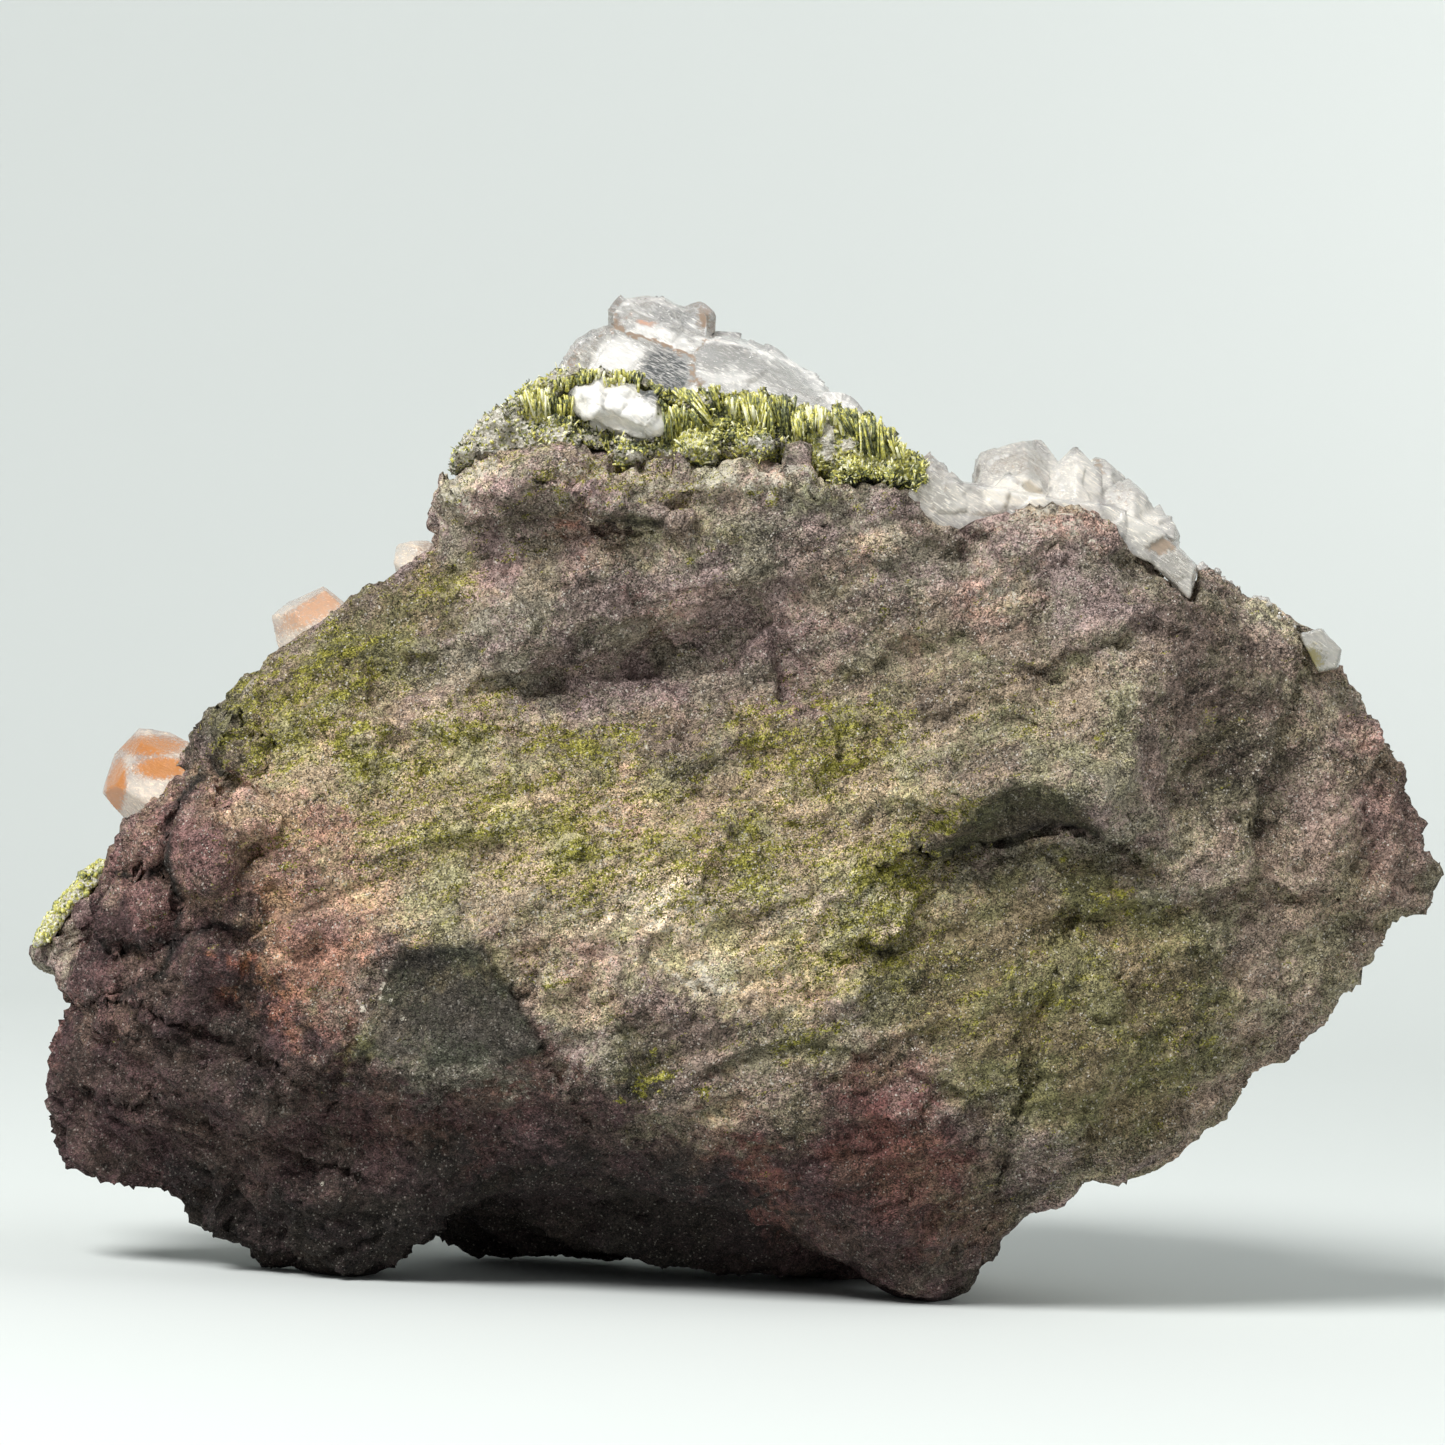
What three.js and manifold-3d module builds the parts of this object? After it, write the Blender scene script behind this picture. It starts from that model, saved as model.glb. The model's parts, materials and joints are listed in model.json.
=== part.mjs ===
// Smoky quartz cluster on its rock. A broken plate of altered volcanic rock stands on its lower
// edge, epidote and quartz run along its upper edge, and smoky quartz points cover its far side.
import * as THREE from 'three';
import { mergeVertices } from 'three/addons/utils/BufferGeometryUtils.js';
import { ImprovedNoise } from 'three/addons/math/ImprovedNoise.js';
import Module from 'manifold-3d';

const wasm = await Module();
wasm.setup();

// Driving dimensions, in millimetres
const SPECIMEN_WIDTH = 72;
const VIEW_DISTANCE = 300;
const GAP = 0.3;
const ROCK_STEPS = 19;
const CRUST_STEPS = 5;
const CRUST_THICKNESS = 1.3;
const CRUST_SHARE = 0.84;
const UNDER_CRUST_REACH = 12;
const CRUST_EDGE_DROP = 0.4;
const FOOT_DEPTH = 1;

// Unevenness of the front face: heights in mm, and the lengths of their waves in pixels
const ROUGHNESS = [0.8, 0.55];
const ROUGH_PIXELS = [66, 34];

// The picture that the places are read from: its middle, and the specimen's width in its pixels
const PICTURE_MIDDLE = 722.5;
const SPECIMEN_PIXELS = 1411;
const MM_PER_PIXEL = SPECIMEN_WIDTH / SPECIMEN_PIXELS;
const ROLL = THREE.MathUtils.degToRad(2.57);
const FLOOR_PIXEL = [935, 1301];
const ROCK_CENTRE = [720, 850];

// Shape of a quartz point: slope of its end faces, measured between face normal and crystal axis,
// its width at the tip against the foot, and how far small and large end faces stand in or out as
// shares of its radius. Points narrower than the faceted width end in six equal faces.
const FACE_TILT = THREE.MathUtils.degToRad(51.8);
const POINT_TAPER = 0.93;
const SMALL_FACE_INSET = [0.12, 0.3];
const LARGE_FACE_OUTSET = 0.16;
const FACETED_WIDTH = 4.5;

// Half widths of an epidote blade at its tip and at its foot, as shares of its width
const BLADE_ENDS = [0.42, 0.5];

// Uneven roundness of clumps and of swellings: height as a share of the radius, waves per radius
const CLUMP_UNEVENNESS = [0.22, 2];
const SWELLING_UNEVENNESS = [0.3, 1.7];

// Levels at which the noise is read for the front's two layers and for the far side
const NOISE_LEVELS = { coarse: 0.5, fine: 9.1, back: 3.7 };

// Corners closer than this are one, in mm and on a ball of radius one, and angles and weights under
// these count as none. No outline corner is drawn out further than the least mitre allows.
const MERGE_DISTANCE = 1e-4;
const BALL_MERGE_DISTANCE = 1e-5;
const LEAST_ANGLE = 1e-6;
const LEAST_WEIGHT = 1e-9;
const LEAST_MITRE = 0.5;

// Size of the block that stands for everything beyond a plane
const CUT_SIZE = 200;
const POINT_CUT_LENGTHS = 6;

// Steps of the random numbers, and what turns a point's width into its seed
const RANDOM_FACTOR = 1664525;
const RANDOM_STEP = 1013904223;
const RANDOM_RANGE = 2 ** 32;
const SEEDS_PER_MM = 100;

const DEG_60 = Math.PI / 3;
const noise = new ImprovedNoise();

// Rock outline as seen from the front, clockwise from the right knob, four equal stretches
const ROCK_OUTLINE = [
  [1443, 850], [1432, 905], [1400, 914], [1378, 955], [1345, 990], [1300, 1052],
  [1260, 1066], [1222, 1120], [1193, 1150], [1158, 1170], [1120, 1183], [1088, 1178],
  [1058, 1204], [1025, 1215], [996, 1250], [967, 1290], [935, 1314], [897, 1301],
  [848, 1268],
  [792, 1240], [730, 1219], [660, 1206], [590, 1197], [520, 1198], [460, 1211],
  [416, 1238], [383, 1267], [350, 1291], [316, 1286], [284, 1262], [250, 1246],
  [212, 1220], [172, 1200], [130, 1184], [88, 1168], [58, 1148], [48, 1110],
  [45, 1075],
  [55, 1036], [78, 1000], [84, 960], [100, 914], [108, 860], [134, 822],
  [166, 796], [184, 774], [193, 740], [210, 714], [242, 680], [280, 645],
  [335, 611], [390, 576], [440, 547], [431, 503], [440, 470], [482, 440],
  [535, 424],
  [600, 432], [665, 444], [730, 452], [772, 452], [798, 446], [832, 474],
  [885, 482], [940, 482], [980, 508], [1050, 514], [1095, 528], [1138, 546],
  [1176, 576], [1208, 563], [1252, 595], [1328, 637], [1348, 675], [1375, 720],
  [1418, 788],
];

// Depth of the rock's silhouette edge, at even steps round the outline from the right knob
const RIM_DEPTHS = [1, 0.5, 0.5, 0, 1, 3, 2.5, 0.5, 1.5, 2.5, 3, 3.5, 3.5, -2, -1, -1, -0.5, 0, 0.5, 1];

// How far the front face stands forward of the outline's plane: picture place, then millimetres
const FRONT_RELIEF = [
  [500, 480, 6.6], [600, 480, 6.6], [700, 490, 6.2], [800, 500, 6.4], [900, 510, 6.0],
  [1000, 545, 6.2], [1100, 565, 6.6], [1180, 610, 6.0], [470, 565, 4.4], [560, 565, 4.8],
  [680, 565, 5.6], [800, 580, 6.2], [920, 600, 6.8], [1050, 640, 7.6], [1150, 670, 7.4],
  [350, 650, 4.0], [450, 660, 5.0], [560, 675, 4.0], [660, 650, 3.6], [760, 625, 4.6],
  [850, 680, 6.4], [980, 710, 8.2], [1080, 730, 8.8], [260, 740, 4.6], [350, 760, 6.4],
  [470, 770, 7.0], [600, 770, 6.6], [720, 745, 6.2], [850, 780, 7.6], [960, 785, 8.8],
  [1050, 790, 8.8], [220, 830, 6.2], [320, 850, 8.0], [450, 860, 8.6], [600, 880, 9.0],
  [750, 880, 8.6], [860, 880, 8.0], [980, 875, 6.4], [1080, 870, 6.6], [1000, 930, 7.4],
  [1100, 960, 7.6], [150, 900, 4.2], [200, 950, 7.0], [300, 980, 9.0], [420, 1000, 10.0],
  [560, 1000, 10.2], [700, 1000, 9.8], [850, 1010, 8.6], [960, 1040, 8.6], [1080, 1060, 7.6],
  [100, 1050, 3.6], [180, 1060, 6.6], [300, 1060, 8.6], [450, 1075, 9.8], [600, 1085, 9.6],
  [750, 1100, 9.2], [880, 1120, 8.6], [1000, 1130, 7.0], [120, 1125, 2.2], [220, 1160, 3.6],
  [350, 1160, 4.4], [470, 1140, 6.0], [620, 1150, 6.4], [760, 1180, 6.8], [880, 1210, 6.0],
  [930, 1250, 4.4], [1210, 700, 5.4], [1270, 780, 4.4], [1340, 760, 2.6], [1200, 860, 6.0],
  [1300, 880, 3.6], [1380, 860, 1.8], [1180, 980, 5.6], [1280, 1000, 3.0], [1150, 1100, 4.4],
];
const RELIEF_REACH = 52;

// Far side of the rock: depth in the middle and its fall to the rim, the rock's half width and half
// height in pixels, and the height and length of its waves
const BACK_DEPTH = 8.4;
const BACK_FALL = 3.6;
const ROCK_HALF = [720, 440];
const BACK_WAVE = [0.8, 130];

// Share of the way from rim to middle over which each side rounds off
const FRONT_ROUNDING = 0.2;
const BACK_ROUNDING = 0.24;

// Knobs and hollows on the front: place, half width and half height in pixels, height in mm
const FRONT_FEATURES = [
  [142, 850, 34, 30, 2.4], [120, 915, 26, 36, 2.2], [92, 970, 20, 22, 1.6], [196, 884, 34, 32, 1.4],
  [205, 742, 20, 28, 1.6], [190, 810, 26, 22, 1.2], [230, 925, 30, 24, 0.9], [150, 1010, 42, 24, 1.0],
  [245, 741, 24, 20, 0.8], [470, 480, 60, 26, 0.9], [640, 520, 42, 14, -1.4], [545, 680, 46, 18, -1.2],
  [1092, 838, 46, 10, -1.6], [990, 862, 60, 16, -1.0], [1085, 920, 34, 13, -0.9], [880, 952, 18, 16, -0.8],
  [1170, 600, 30, 70, 0.6], [1310, 700, 46, 30, 0.8], [1410, 860, 26, 34, 0.9], [740, 1195, 60, 20, 0.6],
  [250, 1110, 44, 26, 0.9], [330, 1215, 30, 40, 1.2], [95, 1120, 30, 34, 1.0], [1120, 1150, 36, 22, 0.7],
];

// Ledges on the front: from and to in the picture, with the raised rock above the line when it
// runs to the right, then the rise in mm and how far it reaches in pixels
const FRONT_LEDGES = [
  [436, 524, 560, 510, 1.2, 60], [560, 510, 690, 532, 0.9, 60], [912, 846, 1000, 843, 1.5, 60],
  [1000, 843, 1094, 826, 1.7, 60], [535, 690, 640, 640, 1.0, 80], [640, 640, 770, 600, 0.8, 80],
  [868, 1050, 880, 950, 0.5, 40],
];
const LEDGE_END = 24;

// Corner of rock that stands out behind the left edge, and the depths between which it lies
const CORNER_OUTLINE = [
  [78, 994], [57, 967], [33, 953], [36, 940], [48, 919], [66, 895], [93, 869], [115, 862],
  [190, 860], [200, 960], [150, 1000],
];
const CORNER_DEPTHS = [3.5, 10];
const CORNER_CUTS = [
  { at: [33, 950, 5], facing: [-0.7, -0.7, -0.1] },
  { at: [60, 900, 9.5], facing: [-0.5, 0.8, 0.3] },
];

// Swellings of the rock on the far side: place, depth, half sizes in mm across, deep and high
const REAR_SWELLINGS = [
  [690, 1122, 8, 18, 9.0, 7.6],
  [560, 1180, 12, 8, 6.0, 4.3],
  [850, 1184, 11, 8, 6.2, 4.9],
];

// Places and shapes of the quartz along the top edge, as outlines in the picture with two depths
const TOP_BLOCKS = [
  { outline: [[561, 367], [579, 342], [607, 330], [642, 334], [650, 410], [575, 405]], depths: [0.5, 9] },
  {
    outline: [[584, 398], [592, 370], [601, 352], [618, 337], [646, 340], [691, 357], [696, 400],
      [692, 452], [640, 450], [592, 438]],
    depths: [-4.2, 6],
  },
  {
    outline: [[612, 340], [614, 312], [624, 300], [645, 297], [663, 300], [684, 309], [700, 306],
      [710, 316], [710, 340], [694, 362], [650, 348]],
    depths: [-2.6, 7],
  },
  {
    outline: [[690, 356], [698, 340], [717, 337], [737, 340], [765, 351], [793, 361], [821, 379],
      [838, 393], [862, 411], [884, 440], [850, 470], [770, 466], [694, 452]],
    depths: [-3.6, 11],
  },
  {
    outline: [[565, 388], [584, 380], [616, 386], [650, 395], [664, 408], [664, 431], [640, 437],
      [606, 428], [580, 412]],
    depths: [-5.6, 0],
  },
];

// Cuts that give the blocks their slanted faces: a place on the cut, then the way it faces
const TOP_CUTS = [
  { at: [640, 297, -1.6], facing: [-0.25, -0.75, -0.62] },
  { at: [778, 352, 2.5], facing: [0.2, -0.72, -0.66] },
  { at: [845, 398, 4], facing: [0.62, -0.6, 0.5] },
  { at: [700, 330, 8], facing: [0.05, -0.68, 0.73] },
];

// Quartz points: foot and tip as place and depth, width in mm, turn about the axis in degrees
const TOP_POINTS = [
  { foot: [660, 470, 3], tip: [652, 322, 13], width: 7.2, turn: 12 },
  { foot: [760, 500, 3], tip: [775, 366, 17], width: 8.0, turn: 40 },
  { foot: [600, 480, 3], tip: [572, 388, 14], width: 5.4, turn: 25 },
  { foot: [850, 520, 3], tip: [868, 432, 15], width: 6.0, turn: 5 },
];
const RIGHT_POINTS = [
  { foot: [928, 500, -2], tip: [930, 448, -1], width: 2.2, turn: 10 },
  { foot: [956, 515, -3], tip: [952, 470, -2], width: 2.3, turn: 35 },
  { foot: [1018, 520, 3], tip: [1012, 446, 9], width: 5.0, turn: 8 },
  { foot: [1010, 515, -1], tip: [1008, 472, 0], width: 3.4, turn: 30 },
  { foot: [1074, 520, -1], tip: [1076, 444, 0.5], width: 3.2, turn: 0 },
  { foot: [1100, 525, 1], tip: [1096, 456, 4], width: 3.0, turn: 22 },
  { foot: [1122, 535, -1], tip: [1128, 477, 1], width: 3.2, turn: 15 },
  { foot: [1150, 560, -1], tip: [1160, 502, 0.5], width: 3.0, turn: 40 },
];
const RIGHT_BLOCKS = [
  {
    outline: [[905, 500], [914, 466], [960, 482], [1060, 500], [1112, 506], [1160, 530], [1196, 566],
      [1190, 600], [1150, 562], [1100, 540], [1000, 528], [950, 538]],
    depths: [-4.4, 4.5],
  },
];

// Stained and pale crystals that look over the left edge from the far side
const LEFT_CRYSTAL = { foot: [300, 860, 6], tip: [104, 752, 14], width: 5.6, turn: 14 };
const UPPER_CRYSTAL = { foot: [420, 730, 6], tip: [284, 598, 14], width: 4.8, turn: 38 };
const PALE_CRYSTAL = { foot: [500, 640, 5], tip: [396, 544, 11], width: 3.0, turn: 8 };

// Translucent wedge on the knob at the right
const WEDGE_OUTLINE = [[1300, 634], [1322, 629], [1341, 650], [1338, 668], [1318, 672]];
const WEDGE_DEPTHS = [-3.4, 0.6];

// Main smoky points on the far side: foot and tip as place, tip depth, width, turn
const SMOKY_POINTS = [
  [735, 730, 705, 585, 30, 11.0, 10], [600, 770, 498, 705, 27, 9.4, 35], [860, 770, 935, 690, 28, 10.0, 20],
  [745, 890, 770, 900, 28, 9.0, 50], [575, 900, 485, 955, 24, 8.0, 5], [905, 920, 995, 975, 24, 8.2, 28],
  [1020, 790, 1125, 765, 23, 8.4, 44], [700, 1010, 690, 1080, 22, 7.4, 16], [440, 800, 345, 780, 20, 7.0, 22],
  [1080, 920, 1180, 950, 17, 6.4, 0], [850, 620, 900, 520, 22, 7.8, 30],
  [990, 660, 1070, 585, 19, 6.6, 12], [370, 930, 285, 975, 16, 5.8, 40],
];

// Small points between them: their count, the seed of their places, how far each strays along the
// ring, the depth of their feet, and then least value and spread of their way to the rim, their
// length, lean, width and turn
const SMALL_POINT_COUNT = 12;
const SMALL_POINT_SEED = 41;
const SMALL_POINT_STRAY = 0.6;
const SMALL_POINT_FOOT = 0.8;
const SMALL_POINT_RING = [0.5, 0.3];
const SMALL_POINT_LENGTH = [4.5, 3];
const SMALL_POINT_LEAN = [0.03, 0.06];
const SMALL_POINT_WIDTH = [2.6, 1.6];
const SMALL_POINT_TURN = [0, 60];

// Epidote layer under the top quartz
const SEAM_OUTLINE = [
  [452, 474], [452, 460], [462, 443], [478, 426], [507, 404], [530, 388], [560, 374], [600, 372],
  [640, 376], [664, 398], [700, 396], [740, 402], [789, 412], [830, 416], [868, 424], [888, 436],
  [901, 452], [926, 462], [930, 484], [885, 496], [835, 488], [800, 470], [765, 470], [710, 468],
  [650, 460], [590, 450], [530, 446], [480, 462],
];
const SEAM_DEPTHS = [-5.2, 3];

// Clumps and needle columns on the epidote layer: place, half size or top, in pixels, then depth
const SEAM_CLUMPS = [
  [572, 380, 16, -4.6], [604, 380, 16, -5.0], [634, 384, 13, -4.6], [538, 398, 17, -4.7],
  [504, 424, 18, -5.0], [560, 430, 20, -5.4], [625, 452, 20, -5.6], [700, 450, 24, -5.8],
  [758, 448, 24, -5.8], [916, 468, 15, -4.4], [850, 476, 22, -5.6], [888, 478, 18, -5.2],
];
const SEAM_NEEDLES = [
  [676, 448, 668, 392], [706, 446, 700, 388], [732, 440, 740, 390], [758, 440, 764, 394],
  [782, 446, 786, 400], [810, 464, 808, 408], [836, 468, 838, 408], [862, 470, 864, 412],
  [886, 474, 892, 430],
];

// Needle columns: seed, least value and spread of their depth and width, and how far the top leans back
const NEEDLE_SEED = 7;
const NEEDLE_DEPTH = [-5.4, 1.6];
const NEEDLE_WIDTH = [0.7, 0.4];
const NEEDLE_LEAN = 1.2;

// Epidote on the corner of rock behind the left edge: place, half size in pixels, depth
const CORNER_CRUST = [
  [34, 946], [38, 936], [50, 915], [68, 891], [94, 865],
  [112, 862], [112, 874], [92, 888], [70, 912], [52, 940],
];
const CORNER_CRUST_DEPTHS = [3.2, 9.6];
const CORNER_CLUMPS = [[52, 924, 13, 5], [90, 880, 14, 5]];

// Epidote sprays on the far side: place, depth, length of the blades in mm, turn in degrees
const SPRAYS = [
  { name: 'epidote_spray_left', at: [235, 1010, 4], length: 7, turn: 215 },
  { name: 'epidote_spray_low', at: [1030, 1060, 4], length: 7.5, turn: 300 },
];

// Blades of a spray: their count, the angle they spread over, width in mm, half size of the clump
// at their foot in pixels, and least value and spread of their rise and of their share of the length
const SPRAY_BLADES = 7;
const SPRAY_SPREAD = 2.2;
const SPRAY_BLADE_WIDTH = 1.3;
const SPRAY_CLUMP = 44;
const SPRAY_RISE = [0.75, 0.5];
const SPRAY_SHARE = [0.8, 0.3];

// Shared helpers

// Point at a given depth that is seen at a picture place from the viewing distance
function seen(u, v, depth) {
  const spread = MM_PER_PIXEL * (1 + depth / VIEW_DISTANCE);
  const right = (u - PICTURE_MIDDLE) * spread;
  const down = (v - PICTURE_MIDDLE) * spread;
  const x = right * Math.cos(ROLL) + down * Math.sin(ROLL);
  const z = right * Math.sin(ROLL) - down * Math.cos(ROLL);
  return new THREE.Vector3(x, depth, z);
}

const FLOOR_HEIGHT = seen(...FLOOR_PIXEL, 0).z;

// Repeatable random numbers between 0 and 1
function randomSource(seed) {
  let state = seed;
  return () => {
    state = (state * RANDOM_FACTOR + RANDOM_STEP) % RANDOM_RANGE;
    return state / RANDOM_RANGE;
  };
}

// Random value from a least value and a spread
function drawn([least, spread], random) {
  return least + spread * random();
}

// Closed solid from a geometry, with shared vertices merged and slivers of no area dropped
function solid(geometry) {
  const bare = geometry.clone();
  bare.deleteAttribute('normal');
  bare.deleteAttribute('uv');
  const merged = mergeVertices(bare, MERGE_DISTANCE);
  const index = merged.index.array;
  const corners = [];
  for (let i = 0; i < index.length; i += 3) {
    const [a, b, c] = [index[i], index[i + 1], index[i + 2]];
    if (a !== b && b !== c && c !== a) corners.push(a, b, c);
  }
  return new wasm.Manifold(new wasm.Mesh({
    numProp: 3,
    vertProperties: Float32Array.from(merged.attributes.position.array),
    triVerts: Uint32Array.from(corners),
  }));
}

function joined(solids) {
  return solids.reduce((whole, next) => whole.add(next));
}

// Moves every vertex of a geometry by a function of its position
function reshaped(geometry, move) {
  const positions = geometry.attributes.position;
  const point = new THREE.Vector3();
  for (let i = 0; i < positions.count; i += 1) {
    point.fromBufferAttribute(positions, i);
    const moved = move(point);
    positions.setXYZ(i, moved.x, moved.y, moved.z);
  }
  return geometry;
}

// Geometry of the largest body of a solid, without the crumbs that cuts can leave
function bodyGeometry(manifold) {
  const mesh = manifold.getMesh();
  const parent = Array.from({ length: mesh.vertProperties.length / 3 }, (_, i) => i);
  const root = (i) => {
    let top = i;
    while (parent[top] !== top) top = parent[top];
    parent[i] = top;
    return top;
  };
  const tris = mesh.triVerts;
  for (let i = 0; i < tris.length; i += 3) {
    parent[root(tris[i + 1])] = root(tris[i]);
    parent[root(tris[i + 2])] = root(tris[i]);
  }
  const sizes = new Map();
  const corner = (i) => new THREE.Vector3().fromArray(mesh.vertProperties, 3 * tris[i]);
  for (let i = 0; i < tris.length; i += 3) {
    const volume = corner(i).dot(corner(i + 1).cross(corner(i + 2))) / 6;
    sizes.set(root(tris[i]), (sizes.get(root(tris[i])) ?? 0) + volume);
  }
  const largest = [...sizes.entries()].sort((a, b) => b[1] - a[1])[0][0];
  const kept = [];
  for (let i = 0; i < tris.length; i += 3) {
    if (root(tris[i]) === largest) kept.push(tris[i], tris[i + 1], tris[i + 2]);
  }
  const geometry = new THREE.BufferGeometry();
  geometry.setAttribute('position', new THREE.BufferAttribute(Float32Array.from(mesh.vertProperties), 3));
  geometry.setIndex(kept);
  geometry.computeVertexNormals();
  return geometry;
}

// Everything on the outer side of a plane, as a large block
function beyondPlane(point, normal, size = CUT_SIZE) {
  const block = new THREE.BoxGeometry(size, size, size);
  const facing = normal.clone().normalize();
  block.applyQuaternion(new THREE.Quaternion().setFromUnitVectors(new THREE.Vector3(0, 0, 1), facing));
  const centre = point.clone().addScaledVector(facing, size / 2);
  block.translate(centre.x, centre.y, centre.z);
  return solid(block);
}

const belowFloor = beyondPlane(new THREE.Vector3(0, 0, FLOOR_HEIGHT), new THREE.Vector3(0, 0, -1));

// Outline with every edge moved outwards by the same amount
function paddedOutline(outline, pad) {
  const corners = outline.map(([u, v]) => new THREE.Vector2(u, v));
  const outward = Math.sign(THREE.ShapeUtils.area(corners));
  return corners.map((corner, i) => {
    const before = corners.at(i - 1);
    const after = corners[(i + 1) % corners.length];
    const edgeIn = corner.clone().sub(before).normalize();
    const edgeOut = after.clone().sub(corner).normalize();
    const normalIn = new THREE.Vector2(edgeIn.y, -edgeIn.x).multiplyScalar(outward);
    const normalOut = new THREE.Vector2(edgeOut.y, -edgeOut.x).multiplyScalar(outward);
    const mitre = normalIn.add(normalOut).normalize();
    const sharpness = Math.max(mitre.dot(normalOut), LEAST_MITRE);
    return corner.clone().addScaledVector(mitre, pad / sharpness);
  });
}

// Solid with a picture outline, between two depths, drawn along the lines of sight
function sightBlock({ outline, depths }, grow = 0) {
  const shape = new THREE.Shape(paddedOutline(outline, grow / MM_PER_PIXEL));
  const [front, back] = depths;
  const geometry = new THREE.ExtrudeGeometry(shape, { depth: back - front + 2 * grow, bevelEnabled: false });
  return solid(reshaped(geometry, (p) => seen(p.x, p.y, p.z + front - grow)));
}

// Hexagonal quartz point from foot to tip, closed by three large and three small end faces
function quartzPoint({ foot, tip, width, turn }, grow = 0) {
  const start = seen(...foot);
  const axis = seen(...tip).sub(start);
  const length = axis.length() + 2 * grow;
  axis.normalize();
  start.addScaledVector(axis, -grow);
  const radius = width / 2 + grow;
  if (width < FACETED_WIDTH) return placedPoint(evenPoint(radius, length), start, axis, turn);
  const prism = new THREE.CylinderGeometry(radius * POINT_TAPER, radius, length, 6, 1);
  prism.rotateX(Math.PI / 2);
  prism.translate(0, 0, length / 2);
  let point = solid(prism);
  const random = randomSource(Math.round(width * SEEDS_PER_MM + turn));
  for (let side = 0; side < 6; side += 1) {
    const outward = new THREE.Vector3(Math.cos(side * DEG_60), Math.sin(side * DEG_60), 0);
    const normal = outward.multiplyScalar(Math.sin(FACE_TILT));
    normal.z = Math.cos(FACE_TILT);
    const small = side % 2 === 1;
    const inset = radius * (small ? drawn(SMALL_FACE_INSET, random) : -LARGE_FACE_OUTSET * random());
    const onFace = normal.clone().multiplyScalar(length * normal.z + inset);
    point = point.subtract(beyondPlane(onFace, normal, POINT_CUT_LENGTHS * length));
  }
  return placedPoint(plainGeometry(point), start, axis, turn);
}

// Small point along +Z with six equal end faces
function evenPoint(radius, length) {
  const shoulder = length - radius * Math.cos(DEG_60 / 2) * Math.tan(FACE_TILT);
  const profile = [[0, 0], [radius, 0], [radius * POINT_TAPER, shoulder], [0, length]];
  const geometry = new THREE.LatheGeometry(profile.map(([r, h]) => new THREE.Vector2(r, h)), 6);
  return geometry.rotateX(Math.PI / 2);
}

// Turns a point that stands along +Z about its axis, and stands it on its foot
function placedPoint(geometry, start, axis, turn) {
  geometry.rotateZ(THREE.MathUtils.degToRad(turn));
  geometry.applyQuaternion(new THREE.Quaternion().setFromUnitVectors(new THREE.Vector3(0, 0, 1), axis));
  geometry.translate(start.x, start.y, start.z);
  return solid(geometry);
}

function plainGeometry(manifold) {
  const mesh = manifold.getMesh();
  const geometry = new THREE.BufferGeometry();
  geometry.setAttribute('position', new THREE.BufferAttribute(Float32Array.from(mesh.vertProperties), 3));
  geometry.setIndex(Array.from(mesh.triVerts));
  return geometry;
}

// Small rounded clump, a few faces only
function clump([u, v, halfSize, depth], grow = 0) {
  const radius = halfSize * MM_PER_PIXEL + grow;
  const geometry = mergeVertices(barePositions(new THREE.IcosahedronGeometry(radius, 0)));
  const centre = seen(u, v, depth);
  const [height, waves] = CLUMP_UNEVENNESS;
  reshaped(geometry, (p) => {
    const uneven = 1 + height * noise.noise(p.x * waves + u, p.y * waves + v, p.z * waves);
    return p.clone().multiplyScalar(uneven).add(centre);
  });
  return solid(geometry);
}

function barePositions(geometry) {
  geometry.deleteAttribute('normal');
  geometry.deleteAttribute('uv');
  return geometry;
}

// Straight blade with four sides, a little narrower at its tip
function blade(start, end, width, grow = 0) {
  const axis = end.clone().sub(start);
  const length = axis.length() + 2 * grow;
  const [atTip, atFoot] = BLADE_ENDS;
  const geometry = new THREE.CylinderGeometry(width * atTip + grow, width * atFoot + grow, length, 4, 1);
  geometry.rotateX(Math.PI / 2);
  geometry.applyQuaternion(new THREE.Quaternion().setFromUnitVectors(
    new THREE.Vector3(0, 0, 1),
    axis.normalize(),
  ));
  const middle = start.clone().add(end).multiplyScalar(0.5);
  geometry.translate(middle.x, middle.y, middle.z);
  return solid(geometry);
}

// The rock

// Share of the way round the outline for a direction in the picture plane, from 0 to 4
function quarterTurns(x, y) {
  const slope = Math.abs(y) / (Math.abs(x) + Math.abs(y) || 1);
  if (x >= 0 && y >= 0) return slope;
  if (x < 0 && y >= 0) return 2 - slope;
  if (x < 0) return 2 + slope;
  return 4 - slope;
}

// Value of a closed list at a share of the way round it
function roundTheList(list, share) {
  const place = share * list.length;
  const before = Math.floor(place) % list.length;
  const after = (before + 1) % list.length;
  return [list[before], list[after], place - Math.floor(place)];
}

function rimPoint(share) {
  const [a, b, t] = roundTheList(ROCK_OUTLINE, share);
  return [a[0] + (b[0] - a[0]) * t, a[1] + (b[1] - a[1]) * t];
}

function rimDepth(share) {
  const [a, b, t] = roundTheList(RIM_DEPTHS, share);
  return a + (b - a) * t;
}

// Smooth forward height of the front face between the named relief places
function frontHeight(u, v) {
  let total = 0;
  let weights = LEAST_WEIGHT;
  for (const [spotU, spotV, height] of FRONT_RELIEF) {
    const away = ((u - spotU) ** 2 + (v - spotV) ** 2) / RELIEF_REACH ** 2;
    const weight = Math.exp(-away);
    total += weight * height;
    weights += weight;
  }
  let height = total / weights;
  for (const [midU, midV, halfU, halfV, rise] of FRONT_FEATURES) {
    height += rise * Math.exp(-(((u - midU) / halfU) ** 2) - ((v - midV) / halfV) ** 2);
  }
  return height + FRONT_LEDGES.reduce((sum, ledge) => sum + ledgeHeight(u, v, ledge), 0);
}

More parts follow.
